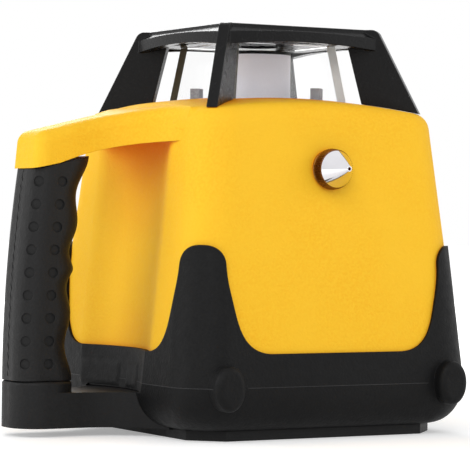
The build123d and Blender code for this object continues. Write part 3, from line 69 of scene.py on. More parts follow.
# Camera: place in metres, angles in degrees, focal length in pixels of the square picture
IMAGE_SIZE = 470
FOCAL_PIXELS = 2438.5
SENSOR_WIDTH = 36.0
CAMERA_AZIMUTH = -29.774
CAMERA_ELEVATION = 0.4035
CAMERA_ROLL = 0.5718
CAMERA_PLACE = Vector((-0.5774, -0.9900, 0.0979))
CLIP_START = 0.05
CLIP_END = 40.0

# Floor and surroundings: lengths in metres, brightness as a share of white, lift at two rings
FLOOR_RADIUS = 8.0
FLOOR_DROP = 0.0001
FLOOR_CORNERS = 64
FLOOR_ALBEDO = 0.86
FLOOR_RINGS = (0.20, 0.65)
FLOOR_LIFTS = (0.34, 0.75)
SKY_LIGHT = 0.50

# Lamps: name, place, side in metres, power in watts
AIM = Vector((0.0, 0.0, 0.09))
LAMPS = (
    ("key_light", Vector((-1.2, -1.7, 1.5)), 1.6, 23.0),
    ("left_light", Vector((-2.0, 0.7, 0.9)), 1.6, 19.0),
    ("right_light", Vector((1.7, -1.3, 0.9)), 1.6, 10.0),
    ("back_light", Vector((0.50, 1.6, 0.95)), 0.85, 16.0),
)

# Colours, linear
YELLOW = (0.97, 0.555, 0.025)
YELLOW_DEEP = (0.95, 0.50, 0.017)
# Painted shade and painted orange bounce light, blended into the yellow deep in the shell's corners and
# under the arm
YELLOW_PAINTED_SHADE = (0.86, 0.20, 0.002)
YELLOW_WORN = (1.0, 0.62, 0.075)
BLACK_PLASTIC = (0.0092, 0.0092, 0.0095)
BLACK_PLASTIC_PALE = (0.0125, 0.0125, 0.0129)
BLACK_PLASTIC_WORN = (0.030, 0.030, 0.032)
CAGE_BLACK = (0.0065, 0.0065, 0.0068)
CAGE_BLACK_PALE = (0.0095, 0.0095, 0.0099)
CAGE_BLACK_WORN = (0.045, 0.045, 0.047)
BLACK_RUBBER = (0.0040, 0.0040, 0.0042)
BLACK_RUBBER_PALE = (0.0065, 0.0065, 0.0067)
BLACK_RUBBER_WORN = (0.022, 0.022, 0.023)
GRIP_RUBBER = (0.0090, 0.0088, 0.0089)
GRIP_RUBBER_PALE = (0.0125, 0.0123, 0.0124)
GRIP_RUBBER_WORN = (0.034, 0.034, 0.034)
# Painted shade, near black, at the walls of the grip's pits
GRIP_RUBBER_PAINTED_SHADE = (0.0012, 0.0012, 0.0012)
# Mould line: paler than the boot's own rubber, a painted highlight where the fine bead's edge catches
# light
MOULD_LINE_PAINTED_HIGHLIGHT = (0.030, 0.030, 0.031)
MOULD_LINE_PAINTED_HIGHLIGHT_PALE = (0.055, 0.055, 0.057)
# Head and posts: their own greys, made paler as painted light that makes up for lamp light the window
# glass keeps off them
HEAD_GREY = (0.80, 0.79, 0.86)
HEAD_GREY_PALE = (0.86, 0.85, 0.91)
HEAD_GREY_WORN = (0.90, 0.90, 0.94)
POST_GREY = (0.30, 0.29, 0.30)
POST_GREY_PALE = (0.46, 0.45, 0.47)
KEY_GREY = (0.20, 0.20, 0.21)
KEY_GREY_PALE = (0.23, 0.23, 0.24)
KEY_GREY_WORN = (0.30, 0.30, 0.31)
STEEL = (0.56, 0.56, 0.57)
CHROME = (0.80, 0.79, 0.82)
# Brown dark steel: painted shade and painted reflection of the orange housing, on the foot's collar, its
# lip and the tip's dimple
STEEL_PAINTED_SHADE = (0.26, 0.145, 0.12)
BRASS = (0.72, 0.50, 0.20)
ALUMINIUM = (0.68, 0.68, 0.69)
BOARD_GREEN = (0.015, 0.13, 0.055)
BOARD_GREEN_DARK = (0.012, 0.105, 0.045)
BOARD_GREEN_PALE = (0.02, 0.17, 0.07)
CELL_SLEEVE = (0.035, 0.075, 0.13)
CELL_SLEEVE_PALE = (0.05, 0.095, 0.16)
GLASS = (1.0, 1.0, 1.0)
# Mitre edges on the left: painted shade and painted reflection of the yellow housing; on the right, the
# ground glass's pale tint
GLASS_EDGE_PAINTED_SHADE = (0.085, 0.070, 0.045)
GLASS_EDGE_PALE = (0.90, 0.91, 0.90)
FLUID_GREEN = (0.62, 0.80, 0.25)

# Painted shade in corners and pits, blended in by ambient occlusion: reach in metres, share of sky where
# it starts and where it is full
SHELL_SKY = (45.0 * MM, 0.72, 0.26)
GRIP_SKY = (3.0 * MM, 0.96, 0.66)
SKY_SAMPLES = 8

# Moulded finishes: base, cloudy and worn colour; grain in cycles a metre; depth and edges in metres;
# some with a painted shade colour and where it falls
MOULDED = {
    "yellow_shell": dict(
        colours=(YELLOW, YELLOW_DEEP, YELLOW_WORN), painted_shade=YELLOW_PAINTED_SHADE, sky=SHELL_SKY,
        roughness=0.60, specular=0.14, grain=850.0, grain_depth=0.45 * MM, edge=0.6 * MM,
    ),
    "black_plastic": dict(
        colours=(BLACK_PLASTIC, BLACK_PLASTIC_PALE, BLACK_PLASTIC_WORN),
        roughness=0.52, specular=0.16, grain=1000.0, grain_depth=0.24 * MM, edge=0.4 * MM,
    ),
    "cage_plastic": dict(
        colours=(CAGE_BLACK, CAGE_BLACK_PALE, CAGE_BLACK_WORN),
        roughness=0.26, specular=0.13, grain=1000.0, grain_depth=0.24 * MM, edge=0.4 * MM,
    ),
    "black_rubber": dict(
        colours=(BLACK_RUBBER, BLACK_RUBBER_PALE, BLACK_RUBBER_WORN),
        roughness=0.56, specular=0.13, grain=900.0, grain_depth=0.45 * MM, edge=0.6 * MM,
    ),
    # grip_rubber: painted shade inside the pits over a short reach
    "grip_rubber": dict(
        colours=(GRIP_RUBBER, GRIP_RUBBER_PALE, GRIP_RUBBER_WORN), painted_shade=GRIP_RUBBER_PAINTED_SHADE, sky=GRIP_SKY,
        roughness=0.48, specular=0.18, grain=900.0, grain_depth=0.40 * MM, edge=0.5 * MM,
    ),
    # Paler than the boot's rubber: a painted highlight along the parting line's bead
    "mould_line": dict(
        colours=(MOULD_LINE_PAINTED_HIGHLIGHT, MOULD_LINE_PAINTED_HIGHLIGHT_PALE, MOULD_LINE_PAINTED_HIGHLIGHT_PALE),
        roughness=0.50, specular=0.20, grain=1500.0, grain_depth=0.05 * MM, edge=0.2 * MM,
    ),
    "key_rubber": dict(
        colours=(KEY_GREY, KEY_GREY_PALE, KEY_GREY_WORN),
        roughness=0.60, specular=0.30, grain=2200.0, grain_depth=0.05 * MM, edge=0.4 * MM,
    ),
    # grey_plastic and post_plastic: paler than the plastic itself, as painted light behind the window
    # glass
    "grey_plastic": dict(
        colours=(HEAD_GREY, HEAD_GREY_PALE, HEAD_GREY_WORN),
        roughness=0.38, specular=0.45, grain=2600.0, grain_depth=0.03 * MM, edge=0.3 * MM,
    ),
    "post_plastic": dict(
        colours=(POST_GREY, POST_GREY_PALE, POST_GREY_PALE),
        roughness=0.55, specular=0.30, grain=900.0, grain_depth=0.15 * MM, edge=0.3 * MM,
    ),
}

# Metals: marks in cycles a metre, edges' radius in metres
METALS = {
    "polished_steel": dict(colour=CHROME, roughness=0.07, marks=500.0, edge=0.2 * MM),
    # knurled_steel's brown dark colour is painted shade and painted reflection
    "knurled_steel": dict(colour=STEEL_PAINTED_SHADE, roughness=0.22, marks=900.0, edge=0.05 * MM),
    "plain_steel": dict(colour=STEEL, roughness=0.30, marks=700.0, edge=0.2 * MM),
    "brass": dict(colour=BRASS, roughness=0.28, marks=600.0, edge=0.2 * MM),
    "cast_aluminium": dict(colour=ALUMINIUM, roughness=0.42, marks=900.0, edge=0.2 * MM),
}

# Clear glass: roughness where it is clean and where it is smeared
GLASSES = {
    "clear_glass": dict(tint=GLASS, smear=(0.0, 0.02)),
    "sensor_glass": dict(tint=FLUID_GREEN, smear=(0.02, 0.05)),
}

# Nodes whose finish isn't that of their slot
OWN_FINISH = {
    "window_front": "window_glass",
    "window_rear": "window_glass",
    "window_left": "window_glass",
    "window_right": "window_glass",
    "lantern_posts": "post_plastic",
    "handle_grip": "grip_rubber",
    "battery_cells": "cell_sleeve",
}

# Bands of a noise factor, from which it is stretched
NARROW_BAND = (0.35, 0.65)
MIDDLE_BAND = (0.30, 0.70)
WIDE_BAND = (0.25, 0.75)
SCUFF_BAND = (0.40, 0.70)
SMEAR_BAND = (0.50, 0.80)

# Noise shared by the finishes, in cycles a metre
CLOUD_SCALE = 22.0
SCUFF_SCALE = 160.0
SHEEN_SCALE = 300.0
SMUDGE_SCALE = 60.0
SMEAR_SCALE = 45.0

# How much it changes: shares of the colour or roughness, strengths of the bumps
SHEEN_SHARE = 0.12
SMUDGE_SHADE = 0.86
MARK_SHEEN = (0.6, 1.5)
GRAIN_STRENGTH = 0.5
MARK_STRENGTH = 0.3
MARK_DEPTH = 0.03 * MM

# Worn edges, where a rounded normal leans away from the surface's own: cosine on flats and on full edges
EDGE_LEAN = (0.995, 0.745)
BEVEL_SAMPLES = 6

# Glass, and the panes' ground mitre edges, told by the product of the normal's X and Y
GLASS_IOR = 1.45
PANE_IOR = 1.12
PANE_SMEAR = (0.0, 0.015)
# X over which the mitre edges go from painted shade on the left to their pale tint on the right
PANE_SIDES = (-4.0 * MM, 4.0 * MM)
MITRE_FACING = (0.25, 0.32)
MITRE_CLEAR = 0.35
MITRE_DULL = 0.35

# Circuit board
TRACE_SCALE = 420.0
TRACE_WIDTH = 0.12
BOARD_SCALE = 200.0
BOARD_SHEEN = (0.25, 0.45)

# Sleeve of a battery cell, in metres from its middle
SLEEVE_END = 24.0 * MM
SLEEVE_EDGE = 0.3 * MM
SLEEVE_CLOUD_SCALE = 120.0
SLEEVE_SHEEN_SCALE = 400.0
SLEEVE_SHEEN = (0.28, 0.38)

# Turned foot, in metres
FOOT_COLLAR_R = 9.25 * MM
FOOT_FRONT_R = 8.8 * MM
FOOT_COLLAR = 5.25 * MM
FOOT_CONE_R = 8.2 * MM
FOOT_CONE = 10.3 * MM
FOOT_LIP = 0.6 * MM
FOOT_TIP_R = 1.2 * MM
FOOT_DIMPLE_R = 0.75 * MM
FOOT_DIMPLE_END_R = FOOT_DIMPLE_R / 8
FOOT_DIMPLE = 1.6 * MM
FOOT_STUD_R = 3.0 * MM
FOOT_CHAMFER = 0.6 * MM
FOOT_TOOTHED = (FOOT_FRONT_R, FOOT_COLLAR_R)
# Spans of the outline in bright steel, the tip's ring and the cone; the others take the dark steel of
# painted shade and painted reflection
FOOT_BRIGHT_SPANS = (1, 2)
FOOT_SHARP = math.radians(20)
KNURL_TEETH = 60
KNURL_DEPTH = 0.65 * MM
# Finishes of the foot's faces: bright steel, and dark steel as painted shade and painted reflection
BRIGHT_FINISH = 0
DARK_FINISH = 1

# Mould lines of the boot and the grip, in metres
BEAD_SIDES = 8
BOOT_PARTING_Z = 24.0 * MM
BOOT_PARTING_R = 0.14 * MM
BOOT_PARTING_STEPS = 360
REST_PAD_Y = -79.0 * MM
GRIP_SEAM_R = 0.22 * MM
GRIP_SEAM_SWELL = 0.35
GRIP_SEAM_WAVE = 0.45 * MM
GRIP_SEAM_PITCH = 4.4 * MM
GRIP_SEAM_STEP = 0.55 * MM
GRIP_SEAM_MARGIN = 2.0 * MM

# Raised panels of the boot, in metres
PANEL_SPANS = ((-18.0 * MM, -1.0 * MM), (3.5 * MM, 32.0 * MM))
PANEL_LOW = 19.6 * MM
PANEL_HIGH = 33.0 * MM
PANEL_EDGE = 3.0 * MM
PANEL_PROUD = 0.6 * MM
PANEL_SINK = 0.1 * MM
PANEL_BACK = 0.8 * MM
PANEL_COLUMNS = 24
PANEL_ROWS = 14

# Fairing that fills the small step where the handle arm's root meets the shell's rounded edge
FAIRING_AT = Vector((-60.0 * MM, 47.5 * MM, 145.5 * MM))
FAIRING_OUT = Vector((-0.62, 0.25, 0.74)).normalized()
FAIRING_LENGTH = 22.0 * MM
FAIRING_WIDTH = 18.0 * MM
FAIRING_STEP = 0.4 * MM
FAIRING_SINK = 0.02 * MM
FAIRING_LIFT = 0.03 * MM
FAIRING_BACK = 0.4 * MM
FAIRING_ROUNDS = 400
SHELL_SHARP = math.radians(60)

# Rounded edges of the cage, in metres
CAGE_EDGE = 0.9 * MM
CAGE_EDGE_SEGMENTS = 3
CAGE_CORNER = 2.4 * MM
CAGE_CORNER_SEGMENTS = 6
CAGE_CORNER_AT = 39.5 * MM
CAGE_DIAGONAL_SLACK = 0.5 * MM
CAGE_TOP_SLACK = 0.2 * MM
CAGE_WELD = 0.005 * MM
CAGE_FLAT = math.radians(0.5)
CAGE_SHARP = math.radians(32)

# Moulded detail of the battery door, the inlet's flap and the keypad panel, in metres
RIB_STEPS = 24
RIB_HALF = 0.9 * MM
RIB_PROUD = 0.45 * MM
RIB_TAPER = 6
RIB_END = 0.01
DOOR_RIB_INSET = 4.5 * MM
DOOR_RIB_HALF = 12.0 * MM
DOOR_RIB_PITCH = 2.6 * MM
DOOR_RIBS = 4
CAP_RIB_INSET = 3.0 * MM
CAP_RIB_HALF = 3.6 * MM
CAP_RIB_PITCH = 2.4 * MM
CAP_RIBS = 2
RIM_INSET = 1.6 * MM
RIM_STEPS = 240
RIM_SQUARE = 16
RIM_HALF = 0.5 * MM
RIM_PROUD = 0.3 * MM


# Node helpers
def start_material(name):
    """New material with its node tree and its principled shader."""
    material = bpy.data.materials.new(name)
    material.use_nodes = True
    tree = material.node_tree
    return material, tree, tree.nodes["Principled BSDF"]


def object_point(tree):
    """Place on the piece in metres."""
    return tree.nodes.new("ShaderNodeTexCoord").outputs["Object"]


def surface_normal(tree):
    """Direction that the surface faces."""
    return tree.nodes.new("ShaderNodeNewGeometry").outputs["Normal"]


def axis_of(tree, vector, axis):
    """One axis of a vector, by its letter."""
    node = tree.nodes.new("ShaderNodeSeparateXYZ")
    tree.links.new(vector, node.inputs["Vector"])
    return node.outputs[axis]


def noise(tree, scale, detail=3.0, roughness=0.5):
    """Noise factor at a scale in cycles a metre."""
    node = tree.nodes.new("ShaderNodeTexNoise")
    node.inputs["Scale"].default_value = scale
    node.inputs["Detail"].default_value = detail
    node.inputs["Roughness"].default_value = roughness
    tree.links.new(object_point(tree), node.inputs["Vector"])
    return node.outputs["Fac"]


def spread(tree, factor, band, span=(0.0, 1.0)):
    """Factor stretched from a band to a span."""
    node = tree.nodes.new("ShaderNodeMapRange")
    node.inputs["From Min"].default_value, node.inputs["From Max"].default_value = band
    node.inputs["To Min"].default_value, node.inputs["To Max"].default_value = span
    tree.links.new(factor, node.inputs["Value"])
    return node.outputs["Result"]


def combine(tree, operation, first, second=None):
    """Result of one sum on a factor, with an optional second one that is a socket or a number."""
    node = tree.nodes.new("ShaderNodeMath")
    node.operation = operation
    tree.links.new(first, node.inputs[0])
    if isinstance(second, float):
        node.inputs[1].default_value = second
    elif second is not None:
        tree.links.new(second, node.inputs[1])
    return node.outputs["Value"]


def blend_colours(tree, factor, first, second):
    """Colour between two, each a tuple or a socket."""
    node = tree.nodes.new("ShaderNodeMix")
    node.data_type = "RGBA"
    tree.links.new(factor, node.inputs["Factor"])
    colours = [socket for socket in node.inputs if socket.type == "RGBA"]
    for socket, colour in zip(colours, (first, second)):
        if isinstance(colour, tuple):
            socket.default_value = (*colour, 1.0)
        else:
            tree.links.new(colour, socket)
    return [socket for socket in node.outputs if socket.type == "RGBA"][0]


def rounded_normal(tree, radius):
    """Shading normal that rounds sharp edges off by a radius in metres."""
    node = tree.nodes.new("ShaderNodeBevel")
    node.samples = BEVEL_SAMPLES
    node.inputs["Radius"].default_value = radius
    return node.outputs["Normal"]


def edge_mask(tree, normal):
    """1 on sharp edges and 0 on flats, from how far a rounded normal leans."""
    lean = tree.nodes.new("ShaderNodeVectorMath")
    lean.operation = "DOT_PRODUCT"
    tree.links.new(normal, lean.inputs[0])
    tree.links.new(surface_normal(tree), lean.inputs[1])
    return spread(tree, lean.outputs["Value"], EDGE_LEAN)


def painted_shade_mask(tree, reach, open_sky, shut_sky):
    """Mask of painted shade: 1 deep in a corner and 0 in the open, from the share of sky seen within a
    reach in metres.
    """
    node = tree.nodes.new("ShaderNodeAmbientOcclusion")
    node.samples = SKY_SAMPLES
    node.inputs["Distance"].default_value = reach
    return spread(tree, node.outputs["AO"], (open_sky, shut_sky))


def bump(tree, height, distance, strength, normal):
    """Normal with the bumps of a height factor, whose full height is a distance in metres."""
    node = tree.nodes.new("ShaderNodeBump")
    node.inputs["Strength"].default_value = strength
    node.inputs["Distance"].default_value = distance
    tree.links.new(height, node.inputs["Height"])
    tree.links.new(normal, node.inputs["Normal"])
    return node.outputs["Normal"]


# Materials
def moulded(name, colours, roughness, specular, grain, grain_depth, edge, painted_shade=None, sky=None):
    """Moulded plastic or rubber: cloudy colour, worn edges, uneven sheen, a fine grain and, where a
    shade colour is given, painted shade in its corners.
    """
    colour, cloudy, worn = colours
    material, tree, shader = start_material(name)
    grains = noise(tree, grain, detail=2.0)
    clouds = spread(tree, noise(tree, CLOUD_SCALE, detail=4.0), NARROW_BAND)
    speckle = spread(tree, grains, NARROW_BAND)
    base = blend_colours(tree, combine(tree, "MULTIPLY", clouds, speckle), colour, cloudy)
    # Painted shade: the colour turns towards the shade colour where little sky is seen
    if painted_shade is not None:
        base = blend_colours(tree, painted_shade_mask(tree, *sky), base, painted_shade)
    normal = rounded_normal(tree, edge)
    scuffs = spread(tree, noise(tree, SCUFF_SCALE, detail=5.0), SCUFF_BAND)
    wear = combine(tree, "MULTIPLY", edge_mask(tree, normal), scuffs)
    tree.links.new(blend_colours(tree, wear, base, worn), shader.inputs["Base Color"])
    sheen = ((1.0 - SHEEN_SHARE) * roughness, (1.0 + SHEEN_SHARE) * roughness)
    gloss = spread(tree, noise(tree, SHEEN_SCALE, detail=4.0, roughness=0.6), MIDDLE_BAND, sheen)
    tree.links.new(gloss, shader.inputs["Roughness"])
    shader.inputs["Specular IOR Level"].default_value = specular
    grained = bump(tree, grains, grain_depth, GRAIN_STRENGTH, normal)
    tree.links.new(grained, shader.inputs["Normal"])
    return material


def metal(name, colour, roughness, marks, edge):
    """Machined metal: smudged colour, fine marks in sheen and surface, and slightly rounded edges."""
    material, tree, shader = start_material(name)
    shader.inputs["Metallic"].default_value = 1.0
    smudges = spread(tree, noise(tree, SMUDGE_SCALE, detail=5.0), MIDDLE_BAND)
    darker = tuple(SMUDGE_SHADE * channel for channel in colour)
    tree.links.new(blend_colours(tree, smudges, colour, darker), shader.inputs["Base Color"])
    sheen = tuple(share * roughness for share in MARK_SHEEN)
    gloss = spread(tree, noise(tree, marks, detail=4.0, roughness=0.7), WIDE_BAND, sheen)
    tree.links.new(gloss, shader.inputs["Roughness"])
    normal = rounded_normal(tree, edge)
    scored = bump(tree, noise(tree, marks), MARK_DEPTH, MARK_STRENGTH, normal)
    tree.links.new(scored, shader.inputs["Normal"])
    return material


def glass(name, tint, smear):
    """Clear glass with faint smears."""
    material, tree, shader = start_material(name)
    shader.inputs["Base Color"].default_value = (*tint, 1.0)
    shader.inputs["Transmission Weight"].default_value = 1.0
    shader.inputs["IOR"].default_value = GLASS_IOR
    smears = spread(tree, noise(tree, SMEAR_SCALE, detail=4.0), SMEAR_BAND, smear)
    tree.links.new(smears, shader.inputs["Roughness"])
    return material


def pane_glass(name):
    """Window glass whose ground mitre edges, which face along a diagonal, are dull and tinted: pale on
    the right and dark on the left, as painted shade and painted reflection of the yellow housing.
    """
    material, tree, shader = start_material(name)
    normal = surface_normal(tree)
    diagonal = combine(tree, "MULTIPLY", axis_of(tree, normal, "X"), axis_of(tree, normal, "Y"))
    mitre = spread(tree, combine(tree, "ABSOLUTE", diagonal), MITRE_FACING)
    side = spread(tree, axis_of(tree, object_point(tree), "X"), PANE_SIDES)
    edge = blend_colours(tree, side, GLASS_EDGE_PAINTED_SHADE, GLASS_EDGE_PALE)
    tree.links.new(blend_colours(tree, mitre, GLASS, edge), shader.inputs["Base Color"])
    clear = spread(tree, mitre, (0.0, 1.0), (1.0, MITRE_CLEAR))
    tree.links.new(clear, shader.inputs["Transmission Weight"])
    smears = spread(tree, noise(tree, SMEAR_SCALE, detail=4.0), SMEAR_BAND, PANE_SMEAR)
    ground = combine(tree, "MULTIPLY", mitre, MITRE_DULL)
    tree.links.new(combine(tree, "MAXIMUM", smears, ground), shader.inputs["Roughness"])
    shader.inputs["IOR"].default_value = PANE_IOR
    return material


def circuit(name):
    """Coated circuit board with paler traces."""
    material, tree, shader = start_material(name)
    traces = tree.nodes.new("ShaderNodeTexBrick")
    traces.inputs["Scale"].default_value = TRACE_SCALE
    traces.inputs["Mortar Size"].default_value = TRACE_WIDTH
    traces.inputs["Color1"].default_value = (*BOARD_GREEN, 1.0)
    traces.inputs["Color2"].default_value = (*BOARD_GREEN_DARK, 1.0)
    traces.inputs["Mortar"].default_value = (*BOARD_GREEN_PALE, 1.0)
    tree.links.new(object_point(tree), traces.inputs["Vector"])
    tree.links.new(traces.outputs["Color"], shader.inputs["Base Color"])
    gloss = spread(tree, noise(tree, BOARD_SCALE), MIDDLE_BAND, BOARD_SHEEN)
    tree.links.new(gloss, shader.inputs["Roughness"])
    return material


def cell_sleeve(name):
    """Battery cell that lies along Y: a plain sleeve and bare steel ends."""
    material, tree, shader = start_material(name)
    along = combine(tree, "ABSOLUTE", axis_of(tree, object_point(tree), "Y"))
    bare = spread(tree, along, (SLEEVE_END, SLEEVE_END + SLEEVE_EDGE))
    clouds = spread(tree, noise(tree, SLEEVE_CLOUD_SCALE), NARROW_BAND)
    sleeve = blend_colours(tree, clouds, CELL_SLEEVE, CELL_SLEEVE_PALE)
    tree.links.new(blend_colours(tree, bare, sleeve, STEEL), shader.inputs["Base Color"])
    tree.links.new(bare, shader.inputs["Metallic"])
    gloss = spread(tree, noise(tree, SLEEVE_SHEEN_SCALE), MIDDLE_BAND, SLEEVE_SHEEN)
    tree.links.new(gloss, shader.inputs["Roughness"])
    return material


def make_materials():
    """Finishes by name: one for each slot of the record, and those of single nodes and pieces."""
    made = {name: moulded(name, **look) for name, look in MOULDED.items()}
    made.update({name: metal(name, **look) for name, look in METALS.items()})
    made.update({name: glass(name, **look) for name, look in GLASSES.items()})
    made["window_glass"] = pane_glass("window_glass")
    made["circuit_board"] = circuit("circuit_board")
    made["cell_sleeve"] = cell_sleeve("cell_sleeve")
    return made


def dress_nodes(materials):
    """Gives every CAD node the finish of its slot, or its own."""
    for subpart in frame["record"]["subparts"]:
        node = subpart["node"]
        mesh = frame["nodes"][node].data
        mesh.materials.clear()
        mesh.materials.append(materials[OWN_FINISH.get(node, subpart["material_slot"])])


# Mesh helpers
def add_object(name, data):
    """New object of a mesh, a lamp or a camera, in the scene."""
    made = bpy.data.objects.new(name, data)
    bpy.context.scene.collection.objects.link(made)
    return made


def add_mesh(name, vertices, faces, smooth=False):
    """New object of vertices and faces, shaded flat or smooth."""
    mesh = bpy.data.meshes.new(name)
    mesh.from_pydata(vertices, [], faces)
    if smooth:
        mesh.shade_smooth()
    return add_object(name, mesh)


def smooth_below(piece, angle):
    """Smooth shading with edges sharper than an angle kept, and faces turned outward."""
    mesh = piece.data
    shaped = bmesh.new()
    shaped.from_mesh(mesh)
    bmesh.ops.recalc_face_normals(shaped, faces=shaped.faces)
    for face in shaped.faces:
        face.smooth = True
    for edge in shaped.edges:
        edge.smooth = edge.calc_face_angle(0.0) < angle
    shaped.to_mesh(mesh)
    shaped.free()


def finish_piece(piece, body, material):
    """Hangs a piece on its body with the finish of a slot."""
    piece.data.materials.append(material)
    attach(piece, body)


def surface_of(node):
    """Search tree of a CAD node's surface."""
    mesh = frame["nodes"][node].data
    corners = [vertex.co for vertex in mesh.vertices]
    faces = [tuple(polygon.vertices) for polygon in mesh.polygons]
    return BVHTree.FromPolygons(corners, faces)


def bead_mesh(path, closed=False):
    """Vertices and faces of a bead along (point, outward normal, half width, height) stations."""
    vertices = []
    faces = []
    count = len(path)
    for i, (point, outward, wide, high) in enumerate(path):
        ahead = path[(i + 1) % count if closed else min(i + 1, count - 1)][0]
        behind = path[(i - 1) % count if closed else max(i - 1, 0)][0]
        along = (ahead - behind).normalized()
        across = along.cross(outward).normalized()
        for k in range(BEAD_SIDES):
            angle = 2 * math.pi * k / BEAD_SIDES
            vertices.append(point + wide * math.cos(angle) * across + high * math.sin(angle) * outward)
    spans = count if closed else count - 1
    for i in range(spans):
        here = i * BEAD_SIDES
        there = (i + 1) % count * BEAD_SIDES
        for k in range(BEAD_SIDES):
            after = (k + 1) % BEAD_SIDES
            faces.append((here + k, there + k, there + after, here + after))
    if not closed:
        faces.append(tuple(range(BEAD_SIDES)))
        faces.append(tuple(reversed(range((count - 1) * BEAD_SIDES, count * BEAD_SIDES))))
    return vertices, faces


def join_meshes(parts):
    """Vertices and faces of several meshes as one."""
    vertices = []
    faces = []
    for part_vertices, part_faces in parts:
        start = len(vertices)
        vertices.extend(part_vertices)
        faces.extend(tuple(start + corner for corner in face) for face in part_faces)
    return vertices, faces


def backed(vertices, faces, shift):
    """Closed shell: a sheet, its copy moved by a shift and facing the other way, and the rim."""
    count = len(vertices)
    shell = vertices + [vertex + shift for vertex in vertices]
    back = [tuple(count + corner for corner in reversed(face)) for face in faces]
    edges = [edge for face in faces for edge in zip(face, face[1:] + face[:1])]
    known = set(edges)
    open_edges = [(start, end) for start, end in edges if (end, start) not in known]
    rim = [(end, start, count + start, count + end) for start, end in open_edges]
    return shell, faces + back + rim


# Levelling foot: tapered knurled collar, bright cone and a centre dimple in its tip; collar, lip and
# dimple in dark steel as painted shade and painted reflection
def foot_outline(tip, end):
    """Radius and Y of each corner, from the bottom of the dimple to the end of the stud."""
    front = tip + FOOT_CONE
    back = front + FOOT_COLLAR
    return [
        (FOOT_DIMPLE_END_R, tip + FOOT_DIMPLE),
        (FOOT_DIMPLE_R, tip),
        (FOOT_TIP_R, tip),
        (FOOT_CONE_R, front),
        (FOOT_FRONT_R, front + FOOT_LIP),
        (FOOT_COLLAR_R, back - FOOT_CHAMFER),
        (FOOT_COLLAR_R - FOOT_CHAMFER, back),
        (FOOT_STUD_R, back),
        (FOOT_STUD_R, end),
    ]


def turned_foot(bright, dark):
    """The outline turned round the foot's axis, with teeth where the collar has them, bright on the
    tip's ring and cone and dark elsewhere, as painted shade and painted reflection.
    """
    low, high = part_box("levelling_foot")
    centre_x = (low.x + high.x) / 2
    centre_z = (low.z + high.z) / 2
    outline = foot_outline(low.y, high.y)
    sides = 2 * KNURL_TEETH
    vertices = []
    for radius, y in outline:
        for k in range(sides):
            reach = radius - KNURL_DEPTH * (k % 2) if radius in FOOT_TOOTHED else radius
            angle = 2 * math.pi * k / sides
            vertices.append((centre_x + reach * math.cos(angle), y, centre_z + reach * math.sin(angle)))
    faces = [tuple(range(sides)), tuple(reversed(range(len(vertices) - sides, len(vertices))))]
    finishes_used = [DARK_FINISH, DARK_FINISH]
    for i in range(len(outline) - 1):
        here = i * sides
        there = here + sides
        for k in range(sides):
            after = (k + 1) % sides
            faces.append((here + k, there + k, there + after, here + after))
            finishes_used.append(BRIGHT_FINISH if i in FOOT_BRIGHT_SPANS else DARK_FINISH)
    piece = add_mesh("turned_foot", vertices, faces)
    smooth_below(piece, FOOT_SHARP)
    finish_piece(piece, "foot", bright)
    piece.data.materials.append(dark)
    for face, used in zip(piece.data.polygons, finishes_used):
        face.material_index = used
    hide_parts("levelling_foot")


# Mould lines
def boot_parting_line(material):
    """Fine bead round the boot's belly, broken at the two rest pads and kept in the CAD box."""
    surface = surface_of("rubber_boot")
    runs = [[]]
    for i in range(BOOT_PARTING_STEPS):
        angle = 2 * math.pi * i / BOOT_PARTING_STEPS
        outward = Vector((math.cos(angle), math.sin(angle), 0.0))
        start = FAR * outward + Vector((0.0, 0.0, BOOT_PARTING_Z))
        point, normal, _, _ = surface.ray_cast(start, -outward)
        if point.y < REST_PAD_Y:
            if runs[-1]:
                runs.append([])
        else:
            runs[-1].append((point, normal, BOOT_PARTING_R, BOOT_PARTING_R))
    runs[0] = runs.pop() + runs[0]
    vertices, faces = join_meshes([bead_mesh(run) for run in runs])
    for vertex in vertices:
        vertex.x = min(vertex.x, CAD_BOX[1][0])
        vertex.y = min(vertex.y, CAD_BOX[1][1])
    piece = add_mesh("boot_parting_line", vertices, faces, smooth=True)
    finish_piece(piece, "case", material)


def grip_seam(material):
    """Crinkled bead down the middle of the grip's back."""
    surface = surface_of("handle_grip")
    low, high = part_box("handle_grip")
    bottom = low.z + GRIP_SEAM_MARGIN
    steps = int((high.z - low.z) / GRIP_SEAM_STEP)
    path = []
    for i in range(steps):
        z = bottom + i * GRIP_SEAM_STEP
        turn = 2 * math.pi * (z - bottom) / GRIP_SEAM_PITCH
        start = Vector((-FAR, GRIP_SEAM_WAVE * math.sin(turn), z))
        point, normal, _, _ = surface.ray_cast(start, Vector((1.0, 0.0, 0.0)))
        if point is None:
            break
        swell = GRIP_SEAM_R * (1.0 - GRIP_SEAM_SWELL + GRIP_SEAM_SWELL * math.cos(turn))
        path.append((point, normal, swell, swell))
    vertices, faces = bead_mesh(path)
    piece = add_mesh("grip_seam", vertices, faces, smooth=True)
    finish_piece(piece, "case", material)


